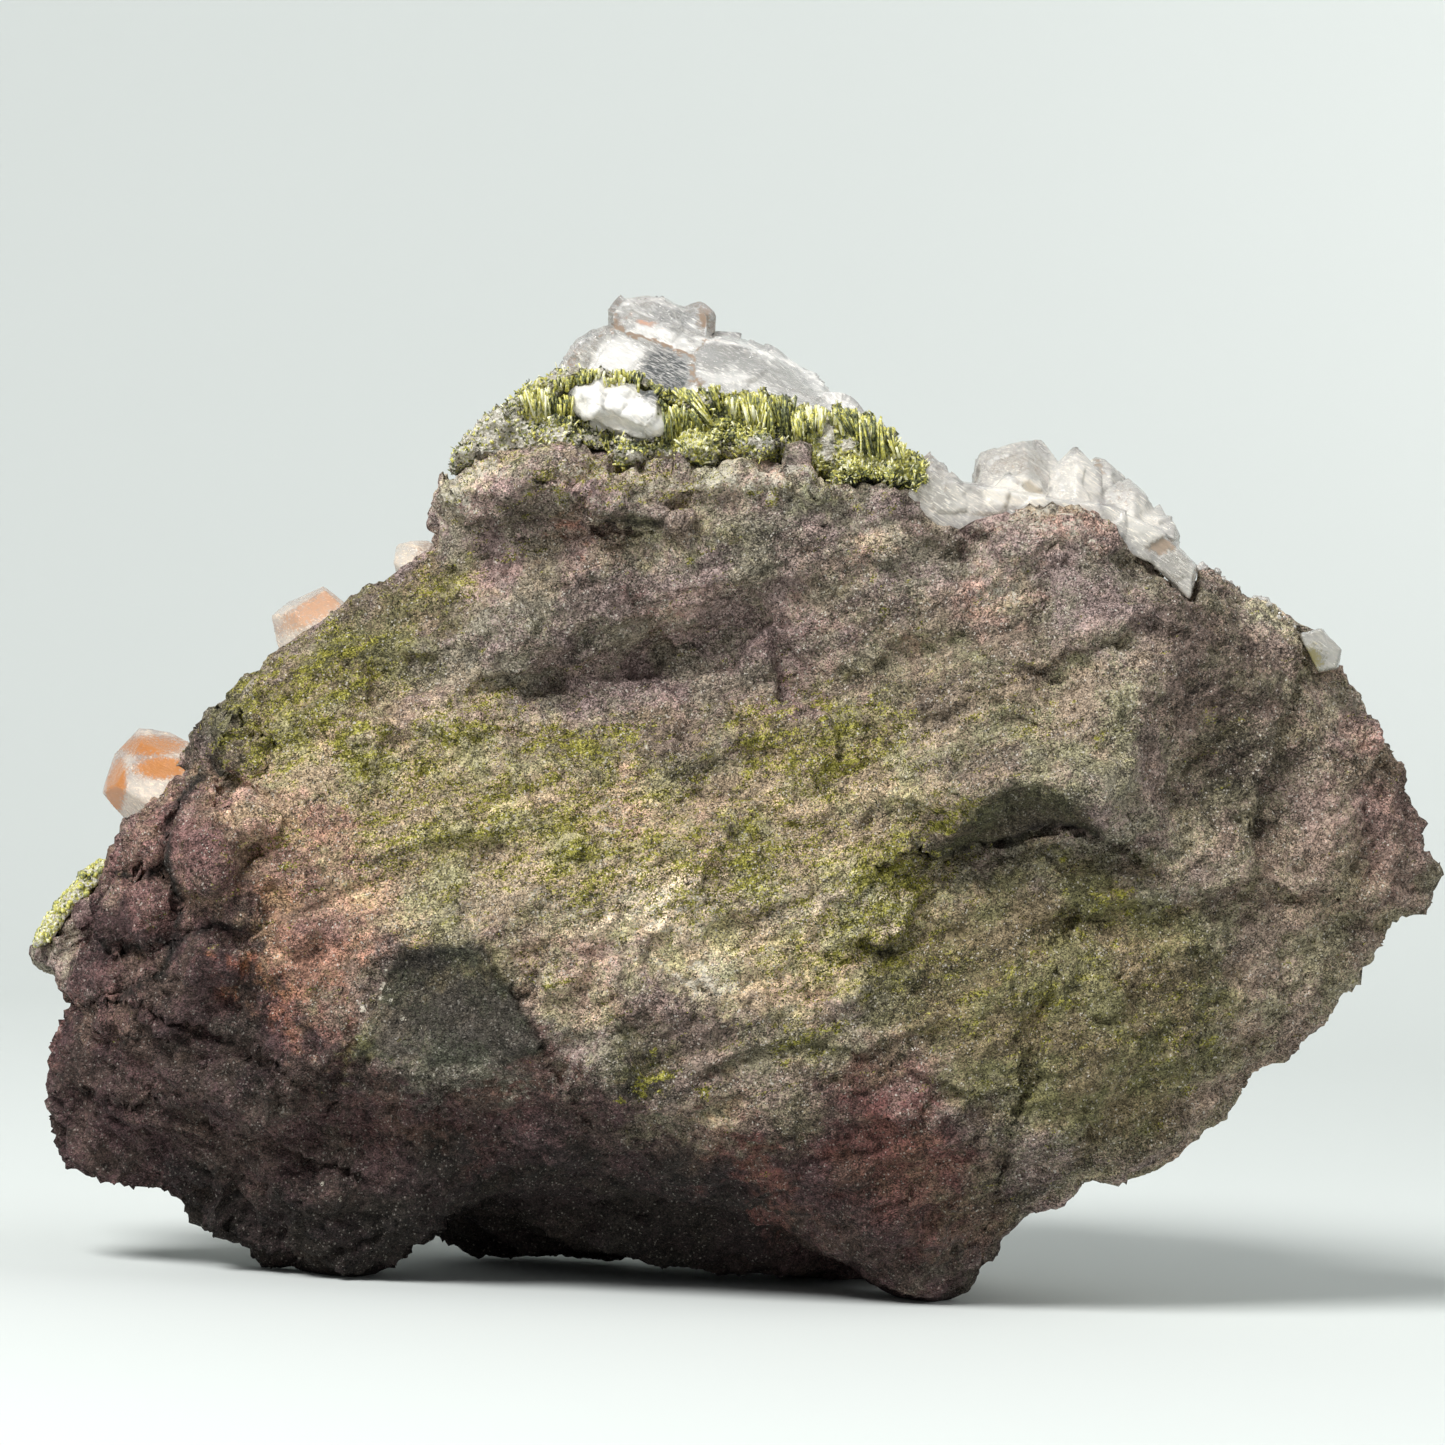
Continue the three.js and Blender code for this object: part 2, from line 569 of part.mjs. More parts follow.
// Rise of one ledge at a place, full at its line and fading away on the raised side
function ledgeHeight(u, v, [fromU, fromV, toU, toV, rise, reach]) {
  const length = Math.hypot(toU - fromU, toV - fromV);
  const along = [(toU - fromU) / length, (toV - fromV) / length];
  const side = (u - fromU) * along[1] - (v - fromV) * along[0];
  if (side < 0) return 0;
  const run = (u - fromU) * along[0] + (v - fromV) * along[1];
  const beyond = Math.max(-run, run - length, 0);
  return rise * Math.exp(-side / reach) * Math.exp(-((beyond / LEDGE_END) ** 2));
}

// Depth of the far side: thick in the middle, thinner towards the rim
function backDepth(u, v) {
  const across = (u - ROCK_CENTRE[0]) / ROCK_HALF[0];
  const down = (v - ROCK_CENTRE[1]) / ROCK_HALF[1];
  const wave = noise.noise(u / BACK_WAVE[1], v / BACK_WAVE[1], NOISE_LEVELS.back);
  return BACK_DEPTH - BACK_FALL * (across ** 2 + down ** 2) + BACK_WAVE[0] * wave;
}

// Quarter-circle profile that rounds the rim over a given share of the way to the middle
function roundedRise(inwards, width) {
  const part = Math.min(inwards / width, 1);
  return Math.sqrt(1 - (1 - part) ** 2);
}

// One closed sheet wrapped over an octahedral ball: its equator is the outline
function wrappedPlate(steps, share, frontAt, backAt, edgeAt) {
  const geometry = mergeVertices(barePositions(new THREE.OctahedronGeometry(1, steps - 1)), BALL_MERGE_DISTANCE);
  return reshaped(geometry, (p) => {
    const turn = quarterTurns(p.x, p.y) / 4;
    const fromPole = Math.acos(THREE.MathUtils.clamp(-p.z, -1, 1));
    const isFront = fromPole <= Math.PI / 2 + LEAST_ANGLE;
    const reach = Math.SQRT2 * Math.sin(Math.min(fromPole, Math.PI - fromPole) / 2);
    const rim = rimPoint(turn);
    const u = ROCK_CENTRE[0] + (rim[0] - ROCK_CENTRE[0]) * reach * share;
    const v = ROCK_CENTRE[1] + (rim[1] - ROCK_CENTRE[1]) * reach * share;
    const edge = edgeAt(turn, u, v);
    const rise = roundedRise(1 - reach, isFront ? FRONT_ROUNDING : BACK_ROUNDING);
    const face = isFront ? frontAt(u, v) : backAt(u, v);
    return seen(u, v, edge + (face - edge) * rise);
  });
}

function frontDepth(u, v) {
  const coarse = ROUGHNESS[0] * noise.noise(u / ROUGH_PIXELS[0], v / ROUGH_PIXELS[0], NOISE_LEVELS.coarse);
  const fine = ROUGHNESS[1] * noise.noise(u / ROUGH_PIXELS[1], v / ROUGH_PIXELS[1], NOISE_LEVELS.fine);
  return coarse + fine - frontHeight(u, v);
}

function rockPlate() {
  return solid(wrappedPlate(ROCK_STEPS, 1, frontDepth, backDepth, (turn) => rimDepth(turn)));
}

// Swelling of the far side, an uneven ball of rock
function swelling([u, v, depth, across, deep, high]) {
  const centre = seen(u, v, depth);
  const geometry = mergeVertices(barePositions(new THREE.IcosahedronGeometry(1, 2)));
  const [height, waves] = SWELLING_UNEVENNESS;
  reshaped(geometry, (p) => {
    const uneven = 1 + height * noise.noise(p.x * waves + u, p.y * waves, p.z * waves);
    return new THREE.Vector3(p.x * across, p.y * deep, p.z * high).multiplyScalar(uneven).add(centre);
  });
  return solid(geometry);
}

function rockSolid() {
  let corner = sightBlock({ outline: CORNER_OUTLINE, depths: CORNER_DEPTHS });
  for (const { at, facing } of CORNER_CUTS) {
    corner = corner.subtract(beyondPlane(seen(...at), new THREE.Vector3(...facing)));
  }
  return joined([rockPlate(), corner, ...REAR_SWELLINGS.map(swelling)]).subtract(belowFloor);
}

// Quartz groups

function topQuartz(grow = 0) {
  let blocks = joined(TOP_BLOCKS.map((block) => sightBlock(block, grow)));
  for (const { at, facing } of TOP_CUTS) {
    const [right, down, away] = facing;
    const normal = new THREE.Vector3(right, away, -down).normalize();
    blocks = blocks.subtract(beyondPlane(seen(...at).addScaledVector(normal, grow), normal));
  }
  return joined([blocks, ...TOP_POINTS.map((point) => quartzPoint(point, grow))]);
}

function rightQuartz(grow = 0) {
  const blocks = RIGHT_BLOCKS.map((block) => sightBlock(block, grow));
  return joined([...blocks, ...RIGHT_POINTS.map((point) => quartzPoint(point, grow))]);
}

// Thin quartz crust that follows the far side and joins the smoky points
function quartzCrust(grow = 0) {
  const outer = (u, v) => backDepth(u, v) + CRUST_THICKNESS + grow;
  const inner = (u, v) => backDepth(u, v) - CRUST_THICKNESS - grow;
  const share = CRUST_SHARE + (grow * CRUST_SHARE) / (ROCK_HALF[1] * MM_PER_PIXEL);
  const edge = (turn, u, v) => backDepth(u, v) - CRUST_EDGE_DROP;
  return solid(wrappedPlate(CRUST_STEPS, share, inner, outer, edge));
}

// Everything in front of the middle of the crust, where the feet of the points end
function underCrust() {
  const deepFront = () => -UNDER_CRUST_REACH;
  const mid = (u, v) => backDepth(u, v) - CRUST_THICKNESS / 2;
  return solid(wrappedPlate(CRUST_STEPS, CRUST_SHARE, deepFront, mid, mid));
}

function smokyPoints(grow = 0) {
  return SMOKY_POINTS.map(([footU, footV, tipU, tipV, tipDepth, width, turn]) => quartzPoint({
    foot: [footU, footV, backDepth(footU, footV) - FOOT_DEPTH],
    tip: [tipU, tipV, tipDepth],
    width,
    turn,
  }, grow));
}

// Small points scattered over the crust between the main ones, leaning outwards
function smallPoints(grow = 0) {
  const random = randomSource(SMALL_POINT_SEED);
  return Array.from({ length: SMALL_POINT_COUNT }, (_, i) => {
    const rim = rimPoint((i + SMALL_POINT_STRAY * random()) / SMALL_POINT_COUNT);
    const share = drawn(SMALL_POINT_RING, random);
    const u = ROCK_CENTRE[0] + (rim[0] - ROCK_CENTRE[0]) * share;
    const v = ROCK_CENTRE[1] + (rim[1] - ROCK_CENTRE[1]) * share;
    const length = drawn(SMALL_POINT_LENGTH, random);
    const lean = drawn(SMALL_POINT_LEAN, random);
    const depth = backDepth(u, v);
    const tip = [u + (rim[0] - ROCK_CENTRE[0]) * lean, v + (rim[1] - ROCK_CENTRE[1]) * lean, depth + length];
    const width = drawn(SMALL_POINT_WIDTH, random);
    const turn = drawn(SMALL_POINT_TURN, random);
    return quartzPoint({ foot: [u, v, depth - SMALL_POINT_FOOT], tip, width, turn }, grow);
  });
}

function smokyCluster(grow = 0) {
  const points = joined([...smokyPoints(grow), ...smallPoints(grow)]).subtract(underCrust());
  return quartzCrust(grow).add(points);
}

// Epidote

function seamSolid(grow = 0) {
  const band = sightBlock({ outline: SEAM_OUTLINE, depths: SEAM_DEPTHS }, grow);
  const clumps = SEAM_CLUMPS.map((place) => clump(place, grow));
  const random = randomSource(NEEDLE_SEED);
  const needles = SEAM_NEEDLES.map(([u, v, topU, topV]) => {
    const front = drawn(NEEDLE_DEPTH, random);
    const width = drawn(NEEDLE_WIDTH, random);
    return blade(seen(u, v, front), seen(topU, topV, front + NEEDLE_LEAN), width, grow);
  });
  return joined([band, ...clumps, ...needles]);
}

function cornerEpidote(grow = 0) {
  const crust = sightBlock({ outline: CORNER_CRUST, depths: CORNER_CRUST_DEPTHS }, grow);
  return joined([crust, ...CORNER_CLUMPS.map((place) => clump(place, grow))]);
}

// Fan of blades that spread from one place on the far side
function spray({ at, length, turn }, grow = 0) {
  const start = seen(...at);
  const random = randomSource(Math.round(at[0]));
  const blades = Array.from({ length: SPRAY_BLADES }, (_, i) => {
    const around = THREE.MathUtils.degToRad(turn) + (i / (SPRAY_BLADES - 1) - 0.5) * SPRAY_SPREAD;
    const way = new THREE.Vector3(Math.cos(around), drawn(SPRAY_RISE, random), Math.sin(around)).normalize();
    const end = start.clone().addScaledVector(way, length * drawn(SPRAY_SHARE, random));
    return blade(start, end, SPRAY_BLADE_WIDTH, grow);
  });
  const [u, v, depth] = at;
  return joined([clump([u, v, SPRAY_CLUMP, depth], grow), ...blades]);
}

// The pieces, each with what grows over it cut away and a small gap left between

const topGrown = topQuartz(GAP);
const rightGrown = rightQuartz(GAP);
const smokyGrown = smokyCluster(GAP);
const leftGrown = quartzPoint(LEFT_CRYSTAL, GAP);
const upperGrown = quartzPoint(UPPER_CRYSTAL, GAP);
const paleGrown = quartzPoint(PALE_CRYSTAL, GAP);
const wedgeGrown = sightBlock({ outline: WEDGE_OUTLINE, depths: WEDGE_DEPTHS }, GAP);
const seamGrown = seamSolid(GAP);
const cornerGrown = cornerEpidote(GAP);
const spraysGrown = SPRAYS.map((one) => spray(one, GAP));

const smoky = smokyCluster().subtract(topGrown).subtract(rightGrown);
const besideSmoky = (piece) => piece.subtract(smokyGrown);
const rock = [topGrown, rightGrown, smokyGrown, leftGrown, upperGrown, paleGrown, wedgeGrown, seamGrown,
  cornerGrown, ...spraysGrown].reduce((whole, next) => whole.subtract(next), rockSolid());

const group = new THREE.Group();

function addPiece(name, manifold, colour, roughness, extra = {}) {
  const material = new THREE.MeshStandardMaterial({ color: colour, roughness, metalness: 0, ...extra });
  const mesh = new THREE.Mesh(bodyGeometry(manifold), material);
  mesh.name = name;
  group.add(mesh);
}

const clear = { transparent: true, opacity: 0.55 };
addPiece('matrix_rock', rock, 0x6f6356, 0.9);
addPiece('epidote_seam', seamSolid().subtract(topGrown).subtract(rightGrown), 0x8a8f2c, 0.5);
addPiece('top_quartz', topQuartz().subtract(rightGrown), 0xdcdcd6, 0.12, clear);
addPiece('right_quartz', rightQuartz(), 0xe8e4da, 0.2, clear);
addPiece('left_stained_crystal', besideSmoky(quartzPoint(LEFT_CRYSTAL)), 0xd49a68, 0.3);
addPiece('upper_stained_crystal', besideSmoky(quartzPoint(UPPER_CRYSTAL)), 0xdba67c, 0.3);
addPiece('pale_crystal', besideSmoky(quartzPoint(PALE_CRYSTAL)), 0xd8c4b0, 0.3);
addPiece('edge_wedge', sightBlock({ outline: WEDGE_OUTLINE, depths: WEDGE_DEPTHS }), 0xb3b28a, 0.3);
addPiece('corner_epidote', cornerEpidote(), 0x9aa12f, 0.5);
addPiece('smoky_cluster', smoky, 0x6b5a4c, 0.1, clear);
SPRAYS.forEach((one) => addPiece(one.name, besideSmoky(spray(one)), 0x5f6b23, 0.4));

// The specimen stands on the floor, centred on its own box
const box = new THREE.Box3().setFromObject(group);
const middle = box.getCenter(new THREE.Vector3());
group.position.set(-middle.x, -middle.y, -FLOOR_HEIGHT);

export default group;
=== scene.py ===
"""Dresses the smoky quartz cluster: a broken plate of altered rock with an epidote seam, broken
quartz and stained crystals along its edges, and smoky quartz points over its far side."""

import itertools
import json
import math

import bpy
import numpy as np
from bpy.props import FloatProperty, FloatVectorProperty, IntProperty, PointerProperty
from mathutils import Matrix, Quaternion, Vector, noise
from mathutils.bvhtree import BVHTree

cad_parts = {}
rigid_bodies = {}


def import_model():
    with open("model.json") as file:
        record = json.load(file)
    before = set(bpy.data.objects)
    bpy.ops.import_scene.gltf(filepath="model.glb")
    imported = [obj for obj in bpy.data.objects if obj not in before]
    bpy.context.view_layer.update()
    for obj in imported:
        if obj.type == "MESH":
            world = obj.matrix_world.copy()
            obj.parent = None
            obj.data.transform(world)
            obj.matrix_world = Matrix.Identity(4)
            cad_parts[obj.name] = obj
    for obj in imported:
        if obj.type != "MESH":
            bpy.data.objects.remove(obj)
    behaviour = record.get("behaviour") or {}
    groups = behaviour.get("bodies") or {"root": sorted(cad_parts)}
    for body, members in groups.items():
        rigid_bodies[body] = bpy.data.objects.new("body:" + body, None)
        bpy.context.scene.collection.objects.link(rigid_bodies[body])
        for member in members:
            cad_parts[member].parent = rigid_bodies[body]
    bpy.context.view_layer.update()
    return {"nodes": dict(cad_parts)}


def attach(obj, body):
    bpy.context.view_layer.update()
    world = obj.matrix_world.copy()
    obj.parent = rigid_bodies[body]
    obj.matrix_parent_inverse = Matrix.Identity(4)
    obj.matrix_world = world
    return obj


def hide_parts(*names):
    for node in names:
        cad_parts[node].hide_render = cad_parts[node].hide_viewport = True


bl_info = {
    "name": "Smoky Quartz Cluster",
    "version": (1, 0, 0),
    "blender": (4, 5, 0),
    "location": "3D View > Sidebar > Quartz",
    "description": "Dresses a smoky quartz cluster on epidote-bearing rock",
    "category": "Add Mesh",
}

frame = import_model()
BODY = "root"
MM = 0.001

# The picture that places are read from, and the line of sight through its middle
PICTURE_SIDE = 1445
PICTURE_MIDDLE = PICTURE_SIDE / 2
# One pixel at the specimen: its width over its width in the picture
PIXEL = 72 * MM / 1411
VIEW_DISTANCE = 300 * MM
ROLL = math.radians(2.57)
SIGHT_ORIGIN = np.array([-0.6990, -9.2683, 29.0036]) * MM
SENSOR = 36

# How fast a soft spot fades, and the waves that shake outlines in the picture: size and reach in pixels
SPOT_FALL = 0.7
EDGE_WAVES = (0.8 * MM, 3.5, 5)
MARK_WAVES = (0.5 * MM, 4, 3)
RAGGED_WAVES = ((2.4 * MM, 34), (0.5 * MM, 26))

# Places in the picture and on the object


def to_picture(points):
    """Picture columns and rows of points in the frame."""
    local = np.asarray(points, float) - SIGHT_ORIGIN
    spread = PIXEL * (1 + local[:, 1] / VIEW_DISTANCE)
    right = local[:, 0] * math.cos(ROLL) + local[:, 2] * math.sin(ROLL)
    down = local[:, 0] * math.sin(ROLL) - local[:, 2] * math.cos(ROLL)
    return PICTURE_MIDDLE + right / spread, PICTURE_MIDDLE + down / spread


def seen(u, v, depth):
    """Point in the frame that is seen at a picture place, at a depth in millimetres."""
    spread = PIXEL * (1 + depth * MM / VIEW_DISTANCE)
    right = (u - PICTURE_MIDDLE) * spread
    down = (v - PICTURE_MIDDLE) * spread
    x = right * math.cos(ROLL) + down * math.sin(ROLL)
    z = right * math.sin(ROLL) - down * math.cos(ROLL)
    return Vector((x, depth * MM, z)) + Vector(SIGHT_ORIGIN)


EYE = seen(PICTURE_MIDDLE, PICTURE_MIDDLE, -VIEW_DISTANCE / MM)


def from_middle(u, v, mid_u, mid_v, half_u, half_v, turn):
    """Squared distance of each place from the middle of a turned ellipse, which is 1 on its rim."""
    angle = math.radians(turn)
    across = (u - mid_u) * math.cos(angle) + (v - mid_v) * math.sin(angle)
    down = (v - mid_v) * math.cos(angle) - (u - mid_u) * math.sin(angle)
    return (across / half_u) ** 2 + (down / half_v) ** 2


def soft_spots(u, v, spots):
    """Strength at each picture place of a list of soft ellipses: middle, half sizes, turn, strength."""
    total = np.zeros(len(u))
    for *place, strength in spots:
        away = from_middle(u, v, *place)
        total = np.maximum(total, strength * np.exp(-(away**1.5) * SPOT_FALL))
    return total


def waver(points, size, reach, seed):
    """Smooth random offsets of about reach, with waves of a size in metres, one for each point."""
    shift = Vector((seed * 7.3, seed * 3.1, seed * 5.7))
    return np.array([noise.fractal(Vector(p) / size + shift, 0.8, 2.0, 3) for p in points]) * reach


def shaken(points, u, v, size, reach, seed):
    """Picture places moved to and fro by smooth waves, so that outlines come out uneven."""
    return u + waver(points, size, reach, seed), v + waver(points, size, reach, seed + 1)


# Mesh handling


def deselect_all():
    for item in bpy.context.view_layer.objects:
        item.select_set(False)


def make_active(item):
    deselect_all()
    item.select_set(True)
    bpy.context.view_layer.objects.active = item


def start_copy(node_name, piece_name):
    """Copy of a CAD node's mesh as a new object, with its loose corners merged."""
    piece = bpy.data.objects.new(piece_name, frame["nodes"][node_name].data.copy())
    bpy.context.scene.collection.objects.link(piece)
    piece.data.materials.clear()
    make_active(piece)
    bpy.ops.object.mode_set(mode="EDIT")
    bpy.ops.mesh.select_all(action="SELECT")
    bpy.ops.mesh.remove_doubles(threshold=0.001 * MM)
    bpy.ops.mesh.normals_make_consistent(inside=False)
    bpy.ops.object.mode_set(mode="OBJECT")
    return piece


def apply_modifier(piece, kind, **settings):
    make_active(piece)
    modifier = piece.modifiers.new(kind.title(), kind)
    for key, value in settings.items():
        setattr(modifier, key, value)
    bpy.ops.object.modifier_apply(modifier=modifier.name)


def remesh(piece, voxel):
    apply_modifier(piece, "REMESH", mode="VOXEL", voxel_size=voxel, adaptivity=0.0)


def displace(piece, size, height, depth=2, **settings):
    """Moves the surface along its normals by a cloud pattern of a size in metres."""
    texture = bpy.data.textures.new(f"{piece.name} clouds", "CLOUDS")
    texture.noise_scale = size
    texture.noise_depth = depth
    for key, value in settings.items():
        setattr(texture, key, value)
    apply_modifier(piece, "DISPLACE", texture=texture, texture_coords="LOCAL", strength=height, mid_level=0.5)
    bpy.data.textures.remove(texture)


def corners_of(piece):
    points = np.empty(len(piece.data.vertices) * 3)
    piece.data.vertices.foreach_get("co", points)
    return points.reshape(-1, 3)


def normals_of(piece):
    normals = np.empty(len(piece.data.vertices) * 3, np.float32)
    piece.data.vertex_normals.foreach_get("vector", normals)
    return normals.reshape(-1, 3)


def set_corners(piece, points):
    piece.data.vertices.foreach_set("co", np.asarray(points, float).ravel())
    piece.data.update()


def set_value(piece, name, values):
    layer = piece.data.attributes.get(name) or piece.data.attributes.new(name, "FLOAT", "POINT")
    layer.data.foreach_set("value", np.asarray(values, np.float32))


def fill_value(piece, name, value):
    set_value(piece, name, np.full(len(piece.data.vertices), value))


def set_colour(piece, name, colours):
    layer = piece.data.attributes.get(name) or piece.data.attributes.new(name, "FLOAT_COLOR", "POINT")
    full = np.ones((len(colours), 4), np.float32)
    full[:, :3] = colours
    layer.data.foreach_set("color", full.ravel())


def shade(piece, smooth):
    piece.data.polygons.foreach_set("use_smooth", [smooth] * len(piece.data.polygons))
    piece.data.update()


def finish_piece(piece, material, slot, *nodes):
    """Gives a piece its material, hides what it stands for and lets it ride on the body."""
    piece.data.materials.clear()
    piece.data.materials.append(material)
    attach(piece, BODY)
    if nodes:
        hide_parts(*nodes)


def tree_of(piece):
    points = [v.co.copy() for v in piece.data.vertices]
    return BVHTree.FromPolygons(points, [tuple(p.vertices) for p in piece.data.polygons])


# Small bodies in great numbers, modelled once and copied into joined meshes


def template(name, shaping):
    """Corners and faces of a small body that is modelled once."""
    deselect_all()
    shaping()
    body = bpy.context.object
    points = corners_of(body)
    faces = [tuple(p.vertices) for p in body.data.polygons]
    bpy.data.meshes.remove(body.data)
    return points, faces


def grain_shape():
    bpy.ops.mesh.primitive_ico_sphere_add(subdivisions=1, radius=1)


def block_shape():
    """Stubby prism with a slanting end, about one unit across."""
    bpy.ops.mesh.primitive_cylinder_add(vertices=6, radius=1, depth=2.2)
    for corner in bpy.context.object.data.vertices:
        if corner.co.z > 0:
            corner.co.z += 0.5 * corner.co.x
        corner.co.y *= 0.7


def needle_shape():
    """Blade of unit length along +Z with a blunt chisel tip."""
    bpy.ops.mesh.primitive_cylinder_add(vertices=6, radius=1, depth=1, location=(0, 0, 0.5))
    bpy.ops.object.transform_apply(location=True)
    body = bpy.context.object
    for corner in body.data.vertices:
        if corner.co.z > 0.9:
            corner.co.x *= 0.55
            corner.co.y *= 0.8
            corner.co.z += 0.05 * corner.co.y


def quartz_shape():
    """Hexagonal point of unit length and unit radius along +Z, with six end faces."""
    bpy.ops.mesh.primitive_cylinder_add(vertices=6, radius=1, depth=0.72, location=(0, 0, 0.36))
    bpy.ops.object.transform_apply(location=True)
    body = bpy.context.object
    bpy.ops.object.mode_set(mode="EDIT")
    bpy.ops.mesh.select_all(action="DESELECT")
    bpy.ops.object.mode_set(mode="OBJECT")
    for face in body.data.polygons:
        face.select = face.normal.z > 0.9
    bpy.ops.object.mode_set(mode="EDIT")
    bpy.ops.mesh.extrude_region_move(TRANSFORM_OT_translate={"value": (0, 0, 0.28)})
    bpy.ops.mesh.merge(type="CENTER")
    bpy.ops.object.mode_set(mode="OBJECT")


def upright(way):
    return Vector((0, 0, 1)).rotation_difference(way)


def swarm(name, shape, copies, tints):
    """Joined mesh of copies of one shape, each with a place, a turn, a stretch and a tint."""
    corners, faces = shape
    count = len(corners)
    points = np.empty((len(copies) * count, 3))
    for i, (place, turn, stretch) in enumerate(copies):
        matrix = np.array(turn.to_matrix())
        points[i * count : (i + 1) * count] = (corners * np.array(stretch)) @ matrix.T + np.array(place)
    sides = np.array([len(f) for f in faces])
    loops = np.concatenate([np.array(f) for f in faces])
    all_loops = (loops[None, :] + count * np.arange(len(copies))[:, None]).ravel()
    all_sides = np.tile(sides, len(copies))
    mesh = bpy.data.meshes.new(name)
    mesh.vertices.add(len(points))
    mesh.vertices.foreach_set("co", points.ravel())
    mesh.loops.add(len(all_loops))
    mesh.loops.foreach_set("vertex_index", all_loops)
    mesh.polygons.add(len(all_sides))
    mesh.polygons.foreach_set("loop_start", np.concatenate([[0], np.cumsum(all_sides)[:-1]]))
    mesh.update(calc_edges=True)
    mesh.validate()
    piece = bpy.data.objects.new(name, mesh)
    bpy.context.scene.collection.objects.link(piece)
    set_value(piece, "tint", np.repeat(np.asarray(tints), count))
    return piece


def join_pieces(first, *others):
    deselect_all()
    for item in others:
        item.select_set(True)
    first.select_set(True)
    bpy.context.view_layer.objects.active = first
    bpy.ops.object.join()
    return first


def scattered(piece, wanted, chance, dice):
    """Random places on a piece's faces with their normals, kept by a chance for each corner."""
    mesh = piece.data
    mesh.calc_loop_triangles()
    tris = np.empty(len(mesh.loop_triangles) * 3, np.int32)
    mesh.loop_triangles.foreach_get("vertices", tris)
    tris = tris.reshape(-1, 3)
    points = corners_of(piece)
    a, b, c = points[tris[:, 0]], points[tris[:, 1]], points[tris[:, 2]]
    cross = np.cross(b - a, c - a)
    area = np.linalg.norm(cross, axis=1) / 2
    weight = area * np.asarray(chance)[tris].mean(axis=1)
    pick = dice.choice(len(tris), size=wanted, p=weight / weight.sum())
    r, s = dice.random(wanted), dice.random(wanted)
    flip = r + s > 1
    r[flip], s[flip] = 1 - r[flip], 1 - s[flip]
    places = a[pick] + (b - a)[pick] * r[:, None] + (c - a)[pick] * s[:, None]
    normals = cross[pick] / (2 * area[pick, None] + 1e-20)
    return places, normals


def grains_on(name, piece, wanted, sizes, chance, seed, sink=0.25, shaping=grain_shape):
    """Small uneven grains sitting on a surface, more of them where the chance is high."""
    dice = np.random.default_rng(seed)
    places, normals = scattered(piece, wanted, chance, dice)
    copies = []
    for place, normal in zip(places, normals):
        size = sizes[0] + (sizes[1] - sizes[0]) * dice.random() ** 2
        turn = Quaternion(dice.normal(size=4)).normalized()
        stretch = size * (0.7 + 0.6 * dice.random(3))
        copies.append((place - normal * size * sink, turn, stretch))
    return swarm(name, template("grain", shaping), copies, dice.random(wanted))


def blades_on(piece, wanted, lengths, widths, chance, seed, up):
    """Blades that stand out of a surface, leaning towards a direction."""
    dice = np.random.default_rng(seed)
    places, normals = scattered(piece, wanted, chance, dice)
    copies = []
    for place, normal in zip(places, normals):
        way = (Vector(normal) * 0.6 + up + Vector(dice.normal(0, 0.4, 3))).normalized()
        length = dice.uniform(*lengths)
        radius = dice.uniform(*widths)
        turn = upright(way) @ Quaternion((0, 0, 1), dice.uniform(0, math.pi))
        copies.append((Vector(place) - way * length * 0.3, turn, (radius, radius * 0.55, length)))
    return swarm(piece.name + " blades", template("blade", needle_shape), copies, dice.random(wanted))


def chip_surface(piece, *layers):
    """Breaks a surface into tilted chips: the size in metres, the tilt and the seed of each layer."""
    for size, tilt, seed in layers:
        points = corners_of(piece)
        set_corners(piece, points + normals_of(piece) * chips(points, size, tilt, seed)[:, None])


# Node materials


